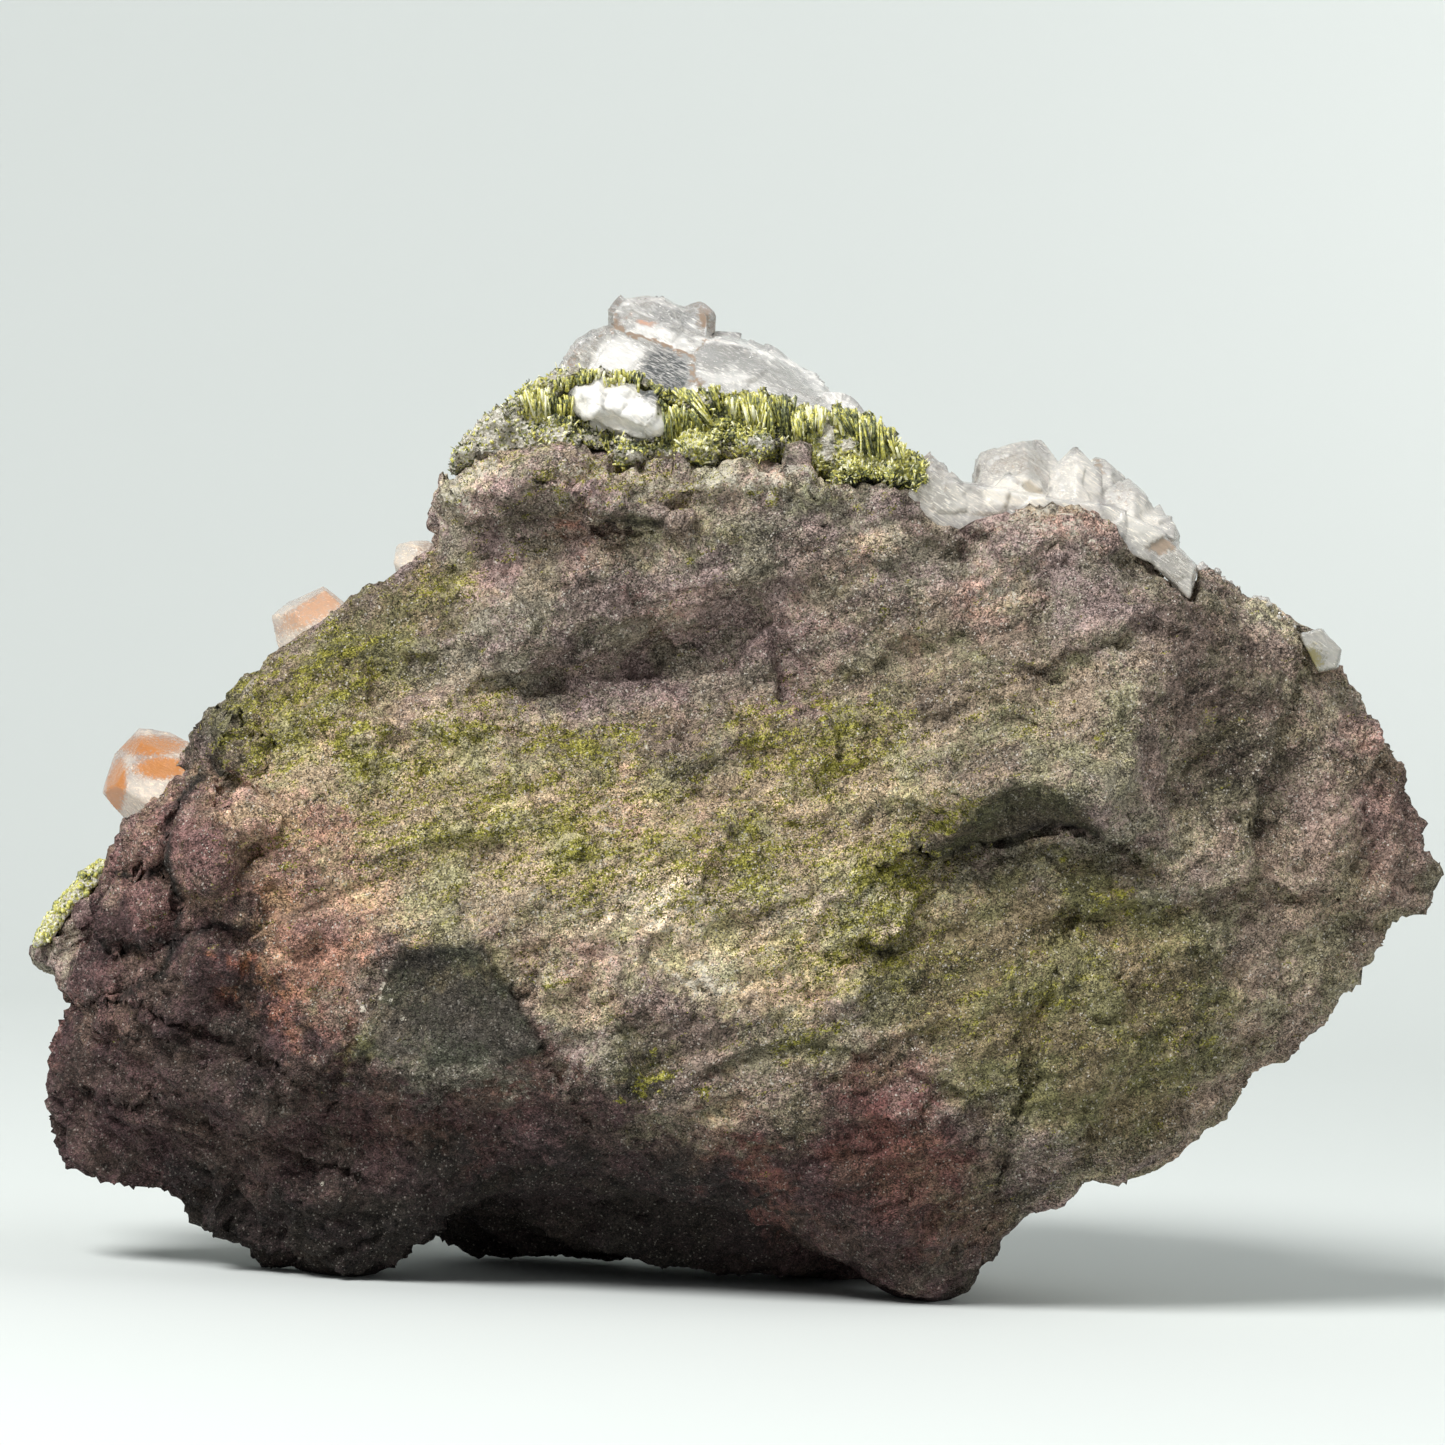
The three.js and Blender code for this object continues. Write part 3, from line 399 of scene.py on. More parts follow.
class Nodes:
    """A node material under construction."""

    def __init__(self, name):
        self.material = bpy.data.materials.new(name)
        self.material.use_nodes = True
        self.tree = self.material.node_tree
        self.shader = self.tree.nodes["Principled BSDF"]
        self.output = self.tree.nodes["Material Output"]
        coordinates = self.tree.nodes.new("ShaderNodeTexCoord")
        millimetres = self.tree.nodes.new("ShaderNodeMapping")
        millimetres.inputs["Scale"].default_value = (1 / MM, 1 / MM, 1 / MM)
        self.tree.links.new(coordinates.outputs["Object"], millimetres.inputs["Vector"])
        self.place = millimetres.outputs["Vector"]

    def add(self, kind, inputs=(), **settings):
        node = self.tree.nodes.new("ShaderNode" + kind)
        for key, value in settings.items():
            setattr(node, key, value)
        for key, value in dict(inputs).items():
            self.put(node.inputs[key], value)
        return node

    def put(self, socket, value):
        if isinstance(value, bpy.types.NodeSocket):
            self.tree.links.new(value, socket)
        elif isinstance(value, (tuple, list)) and len(value) == 3 and socket.type == "RGBA":
            socket.default_value = (*value, 1)
        else:
            socket.default_value = value

    def attribute(self, name, output="Fac"):
        node = self.add("Attribute", attribute_name=name, attribute_type="GEOMETRY")
        return node.outputs[output]

    def noise(self, scale, detail=2.0, roughness=0.5, vector=None, distortion=0.0):
        node = self.add("TexNoise", {"Scale": scale, "Detail": detail, "Roughness": roughness,
                                     "Distortion": distortion, "Vector": vector or self.place})
        return node.outputs["Fac"]

    def cells(self, scale, feature="F1", output="Color"):
        node = self.add("TexVoronoi", {"Scale": scale, "Vector": self.place}, feature=feature)
        return node.outputs[output]

    def channel(self, colour, index):
        return self.add("SeparateColor", {"Color": colour}).outputs[index]

    def stretched(self, turn, lengths):
        """Coordinates along turned axes, for a pattern that is drawn out by a length along each."""
        node = self.add("Mapping", {"Vector": self.place, "Rotation": turn, "Scale": lengths},
                        vector_type="TEXTURE")
        return node.outputs["Vector"]

    def math(self, operation, a, b=0.0, clamp=False):
        node = self.add("Math", operation=operation, use_clamp=clamp)
        self.put(node.inputs[0], a)
        self.put(node.inputs[1], b)
        return node.outputs["Value"]

    def total(self, start, *shares):
        """Start plus each value times its share."""
        for value, share in shares:
            start = self.math("ADD", start, value if share == 1 else self.math("MULTIPLY", value, share))
        return start

    def centred(self, value):
        return self.math("SUBTRACT", value, 0.5)

    def ramp(self, value, low, high, to_low=0.0, to_high=1.0):
        """Value moved smoothly from one range to another."""
        node = self.add("MapRange", {"Value": value, "From Min": low, "From Max": high,
                                     "To Min": to_low, "To Max": to_high}, interpolation_type="SMOOTHSTEP")
        return node.outputs["Result"]

    def mix(self, factor, first, second, blend="MIX"):
        node = self.add("Mix", data_type="RGBA", blend_type=blend, clamp_factor=True)
        self.put(node.inputs[0], factor)
        self.put(node.inputs[6], first)
        self.put(node.inputs[7], second)
        return node.outputs[2]

    def times(self, colour, factor):
        return self.mix(1.0, colour, factor, "MULTIPLY")

    def bump(self, height, distance, strength=1.0, normal=None):
        node = self.add("Bump", {"Height": height, "Distance": distance, "Strength": strength})
        if normal:
            self.put(node.inputs["Normal"], normal)
        return node.outputs["Normal"]

    def set(self, **sockets):
        for name, value in sockets.items():
            self.put(self.shader.inputs[name.replace("_", " ")], value)

    def absorb(self, colour, density):
        volume = self.add("VolumeAbsorption", {"Color": colour, "Density": density})
        self.tree.links.new(volume.outputs["Volume"], self.output.inputs["Volume"])


# The rock

PLUM_GREY = (0.215, 0.180, 0.160)
# Colours of the rock's stains; "shade" is painted shade, and "black", "umber" and "olive" are painted shade
# where so noted
STAIN_AND_SHADE_COLOURS = {
    "plum": (0.225, 0.172, 0.158),
    "green": (0.31, 0.262, 0.165),
    "olive": (0.130, 0.115, 0.056),
    "moss": (0.150, 0.132, 0.088),
    "shade": (0.040, 0.038, 0.020),
    "brown": (0.240, 0.200, 0.150),
    "umber": (0.090, 0.072, 0.057),
    "beige": (0.26, 0.228, 0.155),
    "rose": (0.310, 0.195, 0.138),
    "pink": (0.42, 0.29, 0.22),
    "wine": (0.050, 0.030, 0.030),
    "maroon": (0.210, 0.128, 0.112),
    "red": (0.125, 0.056, 0.046),
    "rust": (0.24, 0.105, 0.055),
    "black": (0.013, 0.011, 0.010),
    "slate": (0.036, 0.035, 0.026),
    "pewter": (0.080, 0.078, 0.066),
    "cream": (0.50, 0.45, 0.33),
}

# Stained areas of the rock, laid one over the other: colour, outline in the picture, softness of the
# edge in pixels, strength. The black area along the underside is painted shade
STAINED_AND_SHADED_AREAS = [
    ("brown",
     [(1150, 560), (1240, 600), (1340, 660), (1460, 850), (1400, 980), (1300, 1090), (1200, 1180),
      (1080, 1190), (1180, 1080), (1240, 960), (1190, 880), (1150, 800), (1170, 700)], 46, 0.95),
    ("moss", [(850, 620), (960, 590), (1060, 640), (1040, 760), (960, 800), (900, 790), (840, 700)], 36,
     0.85),
    ("plum",
     [(520, 700), (600, 650), (700, 600), (780, 590), (870, 640), (850, 700), (760, 750), (680, 765),
      (600, 735)], 30, 0.45),
    ("umber", [(1150, 580), (1230, 600), (1300, 690), (1270, 780), (1180, 790), (1160, 700)], 30, 0.9),
    ("plum", [(430, 470), (600, 465), (620, 500), (560, 525), (440, 525)], 18, 0.75),
    ("plum", [(900, 495), (975, 500), (970, 560), (930, 550)], 12, 0.8),
    ("olive",
     [(900, 880), (1000, 860), (1130, 850), (1220, 920), (1240, 1000), (1190, 1110), (1080, 1170),
      (1000, 1120), (900, 1060), (860, 980)], 40, 0.9),
    ("olive", [(215, 715), (300, 640), (440, 550), (480, 600), (400, 690), (300, 760), (230, 770)], 22,
     0.85),
    ("green",
     [(240, 730), (330, 690), (420, 700), (520, 708), (600, 730), (680, 765), (760, 745), (840, 705),
      (900, 740), (930, 800), (920, 860), (900, 930), (850, 1000), (780, 1030), (700, 1000), (640, 960),
      (560, 950), (420, 930), (360, 900), (290, 820)], 26, 0.95),
    ("beige", [(1030, 690), (1080, 640), (1150, 645), (1150, 720), (1110, 790), (1050, 790), (1015, 745)],
     26, 0.8),
    ("rose",
     [(225, 790), (280, 785), (330, 840), (400, 890), (395, 935), (350, 960), (350, 1010), (300, 1040),
      (250, 990), (235, 930), (250, 880)], 18, 0.9),
    ("wine",
     [(30, 1030), (60, 980), (85, 900), (110, 830), (175, 770), (215, 790), (250, 830), (262, 880),
      (240, 935), (262, 985), (300, 1030), (345, 1040), (400, 1068), (470, 1074), (560, 1068), (640, 1112),
      (700, 1118), (760, 1088), (850, 1068), (900, 1100), (1000, 1130), (1040, 1200), (980, 1320),
      (300, 1320), (40, 1200)], 18, 0.95),
    ("brown", [(600, 1040), (740, 1020), (850, 1040), (830, 1130), (700, 1140), (620, 1110)], 26, 0.7),
    # Painted shade: the underside darkened nearly to black, as in shadow
    ("black",
     [(150, 1175), (250, 1180), (360, 1190), (460, 1150), (560, 1140), (640, 1170), (760, 1180),
      (800, 1240), (760, 1300), (250, 1290), (140, 1210)], 24, 0.8),
    ("slate", [(185, 722), (218, 716), (232, 740), (226, 784), (196, 775)], 8, 0.85),
]

# Smaller stains: colour, then picture place, half sizes, turn, strength. "shade" marks painted shade
STAINS_AND_SHADES = [
    ("maroon", 150, 850, 90, 60, -60, 0.8), ("maroon", 130, 920, 60, 50, 0, 0.6),
    ("plum", 235, 812, 44, 16, 10, 0.8), ("plum", 215, 800, 40, 20, -20, 0.4),
    ("maroon", 90, 1010, 60, 14, 0, 0.6), ("maroon", 220, 850, 30, 50, 0, 0.5),
    ("pink", 250, 815, 36, 16, 0, 1.0), ("cream", 680, 908, 84, 34, -10, 0.5),
    ("pink", 150, 800, 20, 10, 0, 0.4), ("moss", 245, 750, 26, 24, 0, 0.8),
    ("rose", 225, 790, 30, 12, -10, 0.6), ("olive", 960, 820, 50, 20, -34, 0.6),
    ("moss", 1010, 800, 50, 14, -20, 0.5), ("slate", 640, 1092, 50, 16, 0, 0.85),
    ("pewter", 650, 1084, 36, 12, 0, 0.8), ("slate", 745, 825, 34, 12, 0, 0.7),
    ("slate", 790, 560, 60, 22, -20, 0.35), ("slate", 560, 600, 50, 14, -20, 0.4),
    ("olive", 712, 552, 18, 12, 0, 0.8), ("slate", 700, 1040, 60, 12, -10, 0.5),
    ("slate", 300, 1110, 90, 10, 20, 0.4), ("pewter", 500, 1082, 60, 8, 3, 0.7),
    ("pewter", 430, 1085, 50, 9, 8, 0.6), ("pewter", 330, 1075, 50, 9, 14, 0.45),
    ("pewter", 235, 1030, 40, 8, 18, 0.35), ("red", 292, 1000, 40, 24, 40, 0.7),
    ("rust", 330, 960, 50, 30, 40, 0.3), ("red", 46, 1036, 22, 26, 0, 0.7),
    ("red", 340, 1010, 24, 20, 20, 0.6), ("red", 250, 965, 26, 14, 0, 0.9),
    ("rust", 245, 962, 12, 7, 0, 0.8), ("rust", 270, 985, 26, 8, 36, 0.5),
    ("rust", 560, 980, 60, 14, 24, 0.4), ("rust", 600, 1010, 40, 12, 30, 0.4),
    ("rust", 270, 900, 40, 12, 50, 0.4), ("red", 500, 1100, 60, 10, 0, 0.3),
    ("red", 540, 1060, 40, 16, 20, 0.7), ("red", 410, 1130, 80, 14, 20, 0.3),
    ("red", 752, 1172, 60, 17, 48, 0.85), ("red", 900, 1165, 60, 50, 30, 0.8),
    ("red", 960, 1230, 34, 24, 0, 0.5), ("red", 890, 1090, 40, 40, 0, 0.6),
    ("pewter", 960, 1270, 30, 24, 0, 0.4), ("moss", 985, 1190, 30, 50, 10, 0.6),
    ("red", 660, 615, 30, 10, -10, 0.5), ("rust", 572, 523, 26, 6, -8, 0.7),
    ("red", 800, 690, 50, 16, -10, 0.35), ("red", 700, 700, 60, 8, -14, 0.3),
    ("red", 830, 610, 40, 12, -20, 0.35), ("red", 912, 650, 16, 12, 0, 0.5),
    ("pink", 350, 884, 38, 8, 0, 0.8), ("pink", 245, 800, 40, 9, 10, 0.4),
    ("pink", 320, 868, 30, 20, 0, 0.3), ("pink", 480, 690, 40, 16, 30, 0.35),
    ("pink", 1000, 600, 16, 34, -30, 0.6), ("pink", 620, 805, 34, 14, 30, 0.5),
    ("pink", 560, 560, 100, 20, -12, 0.35), ("beige", 620, 545, 80, 16, -8, 0.5),
    ("beige", 700, 508, 50, 12, 0, 0.4), ("beige", 850, 560, 40, 22, 0, 0.35),
    ("beige", 940, 640, 60, 16, -20, 0.3), ("beige", 560, 620, 50, 12, -25, 0.3),
    ("pink", 690, 835, 40, 12, 0, 0.35), ("pink", 800, 910, 30, 8, -20, 0.3),
    ("pink", 805, 990, 26, 30, 30, 0.45), ("pink", 590, 985, 60, 24, 24, 0.5),
    ("pink", 1075, 530, 60, 16, 4, 0.4), ("pink", 865, 560, 30, 14, -30, 0.35),
    ("cream", 705, 982, 20, 13, 0, 1.0), ("cream", 630, 737, 6, 5, 0, 0.9),
    ("cream", 640, 925, 70, 14, -4, 0.6), ("cream", 660, 900, 30, 14, 0, 0.5),
    ("cream", 480, 730, 50, 14, 0, 0.6), ("beige", 520, 905, 160, 12, -3, 0.5),
    ("beige", 990, 730, 44, 30, 0, 0.4), ("beige", 300, 640, 60, 8, -38, 0.3),
    ("cream", 470, 882, 70, 10, 0, 0.35), ("cream", 905, 770, 40, 14, -30, 0.4),
    ("beige", 880, 930, 26, 10, 30, 0.5), ("cream", 780, 880, 30, 8, -10, 0.3),
    ("olive", 657, 1073, 30, 14, 0, 0.9), ("olive", 355, 1050, 18, 11, 0, 0.9),
    ("rust", 710, 1100, 16, 6, 0, 0.3), ("olive", 1112, 908, 34, 13, 0, 0.8),
    ("olive", 800, 740, 80, 26, 0, 0.75), ("olive", 890, 880, 44, 50, 0, 0.5),
    ("olive", 640, 742, 70, 14, 0, 0.5), ("olive", 305, 690, 60, 30, -30, 0.6),
    # Painted shade: the umber spot at 590, 655 darkens the hollow under the ridge
    ("umber", 590, 655, 50, 16, -24, 0.25), ("olive", 820, 1035, 20, 34, 20, 0.6),
    # Painted shade: the "shade" spot at 620, 520 darkens the recess under the upper block
    ("olive", 430, 950, 40, 10, 0, 0.3), ("shade", 620, 520, 40, 5, 6, 0.6),
    ("beige", 940, 1165, 60, 10, -20, 0.15), ("wine", 80, 1140, 70, 70, 0, 0.9),
    ("umber", 1400, 850, 60, 70, 0, 0.5), ("umber", 1255, 800, 50, 50, 0, 0.6),
    ("green", 865, 905, 75, 32, 0, 0.9), ("green", 1000, 902, 50, 22, 0, 0.45),
    ("green", 770, 905, 50, 26, 0, 0.6), ("umber", 900, 700, 50, 24, -10, 0.35),
    ("umber", 800, 652, 60, 26, -20, 0.4), ("moss", 590, 752, 120, 26, 4, 0.6),
    ("moss", 700, 802, 50, 20, 0, 0.4), ("plum", 440, 702, 40, 20, -30, 0.5),
    ("plum", 500, 560, 50, 24, -20, 0.6), ("umber", 702, 1042, 56, 22, 0, 0.7),
    ("beige", 560, 996, 50, 24, 30, 0.7), ("maroon", 300, 880, 50, 30, 50, 0.5),
    ("wine", 110, 925, 34, 30, 0, 0.7), ("wine", 300, 1064, 70, 22, 20, 0.5),
    ("pink", 150, 790, 24, 10, 20, 0.5), ("plum", 1330, 760, 60, 60, 0, 0.4),
    ("maroon", 1380, 760, 50, 40, 0, 0.25), ("pewter", 1160, 870, 40, 12, 20, 0.4),
    ("cream", 470, 476, 50, 11, -24, 0.85), ("cream", 600, 458, 60, 7, 8, 0.5),
    ("cream", 720, 462, 70, 9, 0, 0.8), ("cream", 660, 462, 18, 9, 0, 0.8),
    ("cream", 826, 486, 18, 9, 0, 0.8), ("pink", 780, 462, 14, 16, 0, 0.5),
    # Painted shade: the "shade" spot at 875, 482 darkens the rock under the seam's foot
    ("olive", 590, 462, 50, 9, 5, 0.6), ("shade", 875, 482, 40, 8, 8, 0.7),
    ("beige", 700, 482, 80, 10, 0, 0.5), ("olive", 500, 460, 40, 8, -24, 0.5),
    ("pink", 1060, 512, 60, 8, 4, 0.7), ("cream", 862, 902, 40, 22, 0, 0.55),
    ("green", 770, 905, 50, 26, 0, 0.5), ("plum", 500, 560, 50, 24, -20, 0.4),
    ("umber", 640, 742, 60, 16, 0, 0.3), ("moss", 540, 762, 60, 22, 0, 0.45),
    ("umber", 440, 702, 40, 20, -30, 0.3), ("maroon", 325, 900, 40, 30, 30, 0.55),
    ("wine", 110, 922, 34, 30, 0, 0.7), ("slate", 450, 1000, 80, 44, 0, 0.4),
    ("beige", 560, 998, 46, 22, 30, 0.7), ("umber", 702, 1042, 50, 20, 0, 0.4),
    ("green", 1100, 960, 60, 40, 0, 0.3), ("maroon", 270, 865, 24, 20, 0, 0.4),
    ("wine", 90, 1060, 50, 40, 0, 0.5), ("wine", 300, 1060, 70, 24, 20, 0.5),
    ("cream", 1242, 580, 26, 5, 42, 0.6), ("cream", 1282, 614, 30, 5, 44, 0.6),
    ("moss", 1210, 566, 16, 8, 20, 0.8), ("beige", 700, 540, 50, 16, -6, 0.6),
    ("cream", 860, 902, 46, 26, 0, 0.6), ("cream", 772, 905, 50, 24, 0, 0.4),
    ("cream", 560, 998, 44, 20, 30, 0.6), ("wine", 325, 900, 38, 28, 30, 0.25),
    ("umber", 500, 560, 50, 24, -20, 0.35), ("black", 110, 922, 30, 26, 0, 0.35),
    ("umber", 900, 700, 40, 20, -10, 0.2), ("black", 450, 1000, 80, 44, 0, 0.2),
    ("wine", 115, 925, 44, 44, 0, 0.4), ("wine", 90, 1060, 60, 60, 0, 0.35),
    ("maroon", 1390, 800, 50, 80, 20, 0.45), ("umber", 1390, 830, 50, 70, 10, 0.2),
    ("umber", 700, 1040, 60, 30, 0, 0.3), ("pink", 560, 1000, 36, 18, 30, 0.5),
    ("cream", 860, 902, 46, 26, 0, 0.35), ("black", 450, 1000, 80, 44, 0, 0.2),
    ("wine", 300, 1060, 60, 40, 0, 0.3),
]


# Where green epidote grains lie thick on the rock: picture place, half sizes, turn, strength
GREEN_GRAINS = [
    (300, 690, 120, 46, -38, 0.8), (340, 738, 50, 22, 0, 1.0), (460, 722, 60, 20, 0, 0.85),
    (590, 745, 70, 22, 0, 0.95), (820, 745, 110, 40, 0, 0.9), (890, 880, 50, 70, 0, 0.9),
    (560, 830, 170, 60, 8, 0.8), (700, 860, 190, 70, 0, 0.75), (450, 850, 120, 60, 0, 0.65),
    (400, 780, 90, 40, 0, 0.7), (850, 950, 80, 50, 0, 0.75), (1040, 1000, 150, 70, 0, 0.4),
    (800, 1030, 40, 40, 20, 0.7), (657, 1073, 26, 12, 0, 1.0), (700, 1100, 14, 8, 0, 0.9),
    (1112, 908, 36, 14, 0, 0.8), (1095, 940, 14, 7, 0, 1.0), (1073, 857, 8, 6, 0, 1.0),
    (950, 818, 40, 16, -34, 0.9), (205, 1130, 8, 5, 0, 0.7), (330, 1110, 8, 5, 0, 0.7),
    (1100, 740, 16, 10, 0, 0.7), (907, 597, 10, 5, 0, 0.8), (420, 600, 90, 30, -34, 0.55),
    (1000, 720, 60, 50, 0, 0.35), (560, 980, 70, 20, 20, 0.4), (280, 870, 50, 60, 0, 0.35),
    (490, 462, 60, 14, -22, 0.7), (600, 474, 70, 16, 5, 0.8), (730, 480, 80, 16, 0, 0.7),
    (850, 490, 60, 12, 6, 0.7), (715, 552, 18, 10, 0, 0.5), (440, 950, 40, 16, 0, 0.4),
    (1180, 1050, 70, 40, -30, 0.4), (480, 560, 40, 40, 0, 0.35),
]

# Where white grains lie thick
WHITE_GRAINS = [
    (470, 478, 50, 14, -24, 0.8), (600, 470, 60, 12, 5, 0.6), (735, 474, 80, 14, 0, 0.8),
    (830, 488, 20, 9, 0, 0.9), (1060, 516, 70, 8, 4, 0.8), (1000, 590, 12, 40, -25, 0.6),
    (870, 560, 40, 20, 0, 0.4), (705, 982, 22, 14, 0, 1.2), (560, 915, 180, 30, -3, 0.35),
    (630, 737, 8, 8, 0, 1.0), (660, 905, 60, 20, 0, 0.6), (394, 1004, 7, 5, 0, 1.2),
    (322, 1175, 7, 5, 0, 0.8), (700, 490, 300, 24, 3, 0.35), (480, 1080, 90, 8, 3, 0.5),
    (690, 880, 260, 90, 0, 0.25), (800, 600, 400, 60, 0, 0.12), (620, 810, 40, 12, 30, 0.5),
    (350, 884, 40, 8, 0, 0.4),
]


# Overhangs on the front: the ridge and the crack below it with a shaded facet between them, as lines
# in the picture, then rise and fall in millimetres, how far each side carries on in pixels, and the
# colour of the painted shade on the facet with its strength
OVERHANGS = [
    ([(916, 842), (932, 846), (948, 838), (966, 818), (985, 800), (1004, 788), (1042, 787), (1080, 804),
      (1104, 834)],
     [(918, 845), (932, 855), (948, 854), (966, 848), (1004, 843), (1030, 830), (1065, 824), (1104, 838)],
     1.0, 0.75, 50, 46, "shade", 0.85),
    ([(432, 500), (452, 488), (500, 496), (545, 506), (592, 512)],
     [(432, 512), (452, 524), (500, 531), (545, 530), (592, 516)], 0.5, 0.4, 40, 26, "umber", 0.5),
    ([(600, 512), (625, 514), (650, 516), (674, 518)], [(600, 517), (620, 525), (648, 527), (674, 522)],
     0.5, 0.4, 24, 16, "shade", 0.8),
    ([(524, 668), (580, 640), (640, 600), (700, 580), (780, 566)],
     [(524, 680), (585, 674), (650, 655), (715, 630), (790, 596)], 0.6, 0.4, 70, 60, "umber", 0.15),
    ([(900, 508), (925, 520), (950, 536), (975, 540)], [(900, 530), (922, 545), (945, 562), (975, 556)],
     0.5, 0.3, 30, 20, "umber", 0.7),
    ([(1060, 908), (1085, 898), (1110, 894), (1142, 900)],
     [(1060, 924), (1085, 920), (1112, 921), (1142, 906)], 0.35, 0.3, 30, 26, "olive", 0.9),
    ([(866, 936), (876, 946), (893, 938), (908, 914), (920, 896)],
     [(866, 942), (878, 955), (897, 948), (914, 922), (922, 900)], 0.5, 0.3, 40, 20, "shade", 0.6),
    ([(1040, 664), (1085, 634), (1150, 612)], [(1040, 670), (1092, 646), (1152, 628)], 0.25, 0.2, 30, 40,
     "umber", 0.2),
    ([(1008, 716), (1020, 712), (1036, 722)], [(1008, 719), (1022, 720), (1034, 730)], 0.25, 0.2, 14, 14,
     "shade", 0.7),
    ([(690, 1076), (740, 1050), (790, 1040), (850, 1046)],
     [(694, 1080), (744, 1057), (792, 1048), (850, 1052)], 0.3, 0.25, 30, 30, "shade", 0.5),
    ([(1206, 890), (1216, 898), (1226, 890)], [(1206, 897), (1216, 908), (1226, 896)], 0.3, 0.3, 12, 12,
     "black", 0.7),
]

# Ridges and steps: a line in the picture, then on its left and on its right hand the height in
# millimetres at the line, the height away from it and the reach in pixels
FOLDS = [
    ([(1128, 540), (1152, 620), (1146, 700), (1118, 770), (1100, 834)], (0.3, -0.2, 60), (0.3, -1.3, 110)),
    ([(1092, 832), (1122, 846), (1152, 872)], (0.25, 0, 26), (-0.25, 0, 26)),
    ([(545, 1052), (507, 985), (482, 944), (398, 946), (372, 1010), (352, 1056)], (0.3, 0, 22),
     (-0.45, -0.3, 60)),
    ([(820, 1150), (850, 1126), (905, 1122)], (0.3, 0, 30), (-0.2, 0, 30)),
    ([(264, 742), (226, 714), (190, 722)], (0.4, 0, 20), (-0.5, 0, 26)),
    ([(60, 1004), (110, 1000), (150, 1004), (210, 1030), (300, 1075)], (0.3, 0, 26), (-0.5, 0, 30)),
    ([(90, 1090), (200, 1110), (330, 1160)], (0.4, 0, 30), (-0.4, 0, 40)),
    ([(590, 1130), (680, 1118), (760, 1140)], (0.3, 0, 30), (-0.3, 0, 40)),
    ([(1290, 700), (1262, 780), (1250, 860)], (-0.4, 0, 60), (0.5, 0, 60)),
    ([(1200, 900), (1260, 880), (1330, 900)], (0.4, 0, 46), (-0.5, 0, 50)),
]

# Slits in the front, with painted black shade inside: a line in the picture, its half width in pixels,
# its depth in millimetres
SLITS = [
    ([(918, 844), (930, 853), (944, 855), (966, 849), (1004, 844)], 2.5, 0.5),
    ([(1004, 843), (1032, 830), (1062, 824), (1096, 834)], 4.5, 0.9),
    ([(606, 522), (640, 526), (668, 523)], 3, 0.5),
    ([(868, 944), (880, 954), (895, 950)], 2, 0.4),
    ([(1096, 836), (1124, 850), (1150, 872)], 1.5, 0.25),
    ([(788, 456), (784, 475), (792, 500)], 2, 0.4),
    ([(800, 452), (808, 475), (806, 500)], 1.5, 0.3),
    ([(202, 776), (186, 792), (168, 822), (166, 862), (182, 905), (172, 945)], 5, 0.8),
    ([(114, 872), (140, 876), (168, 868)], 4, 0.5),
    ([(100, 948), (134, 950), (160, 940), (176, 945)], 5, 0.7),
    ([(176, 945), (190, 935), (215, 925), (240, 930)], 4, 0.5),
    ([(196, 720), (206, 750), (226, 786)], 3, 0.5),
    ([(176, 945), (160, 975), (120, 998)], 4, 0.5),
    ([(1018, 722), (1012, 760), (1020, 790)], 1.2, 0.15),
]

# Rounded boulders at the left that crowd each other: middle, half sizes, turn, height in millimetres
BOULDERS = [
    (204, 852, 40, 56, 10, 2.7), (138, 846, 32, 25, -10, 2.3), (136, 912, 37, 42, 15, 2.5),
    (92, 972, 34, 25, -10, 1.8), (200, 965, 44, 32, 0, 1.9), (208, 790, 20, 19, 0, 1.4),
    (248, 822, 32, 26, 10, 1.7), (206, 742, 20, 28, 0, 1.3), (242, 762, 24, 20, 0, 1.2),
    (176, 800, 16, 18, 0, 1.2), (240, 902, 28, 32, 0, 1.5), (100, 905, 22, 26, 0, 1.2),
    (60, 1020, 26, 16, 0, 0.8), (150, 800, 20, 14, 20, 1.0), (120, 1010, 34, 18, 0, 1.0),
    (270, 870, 18, 14, 0, 0.6), (290, 930, 22, 14, 20, 0.6), (330, 990, 26, 12, 20, 0.5),
]

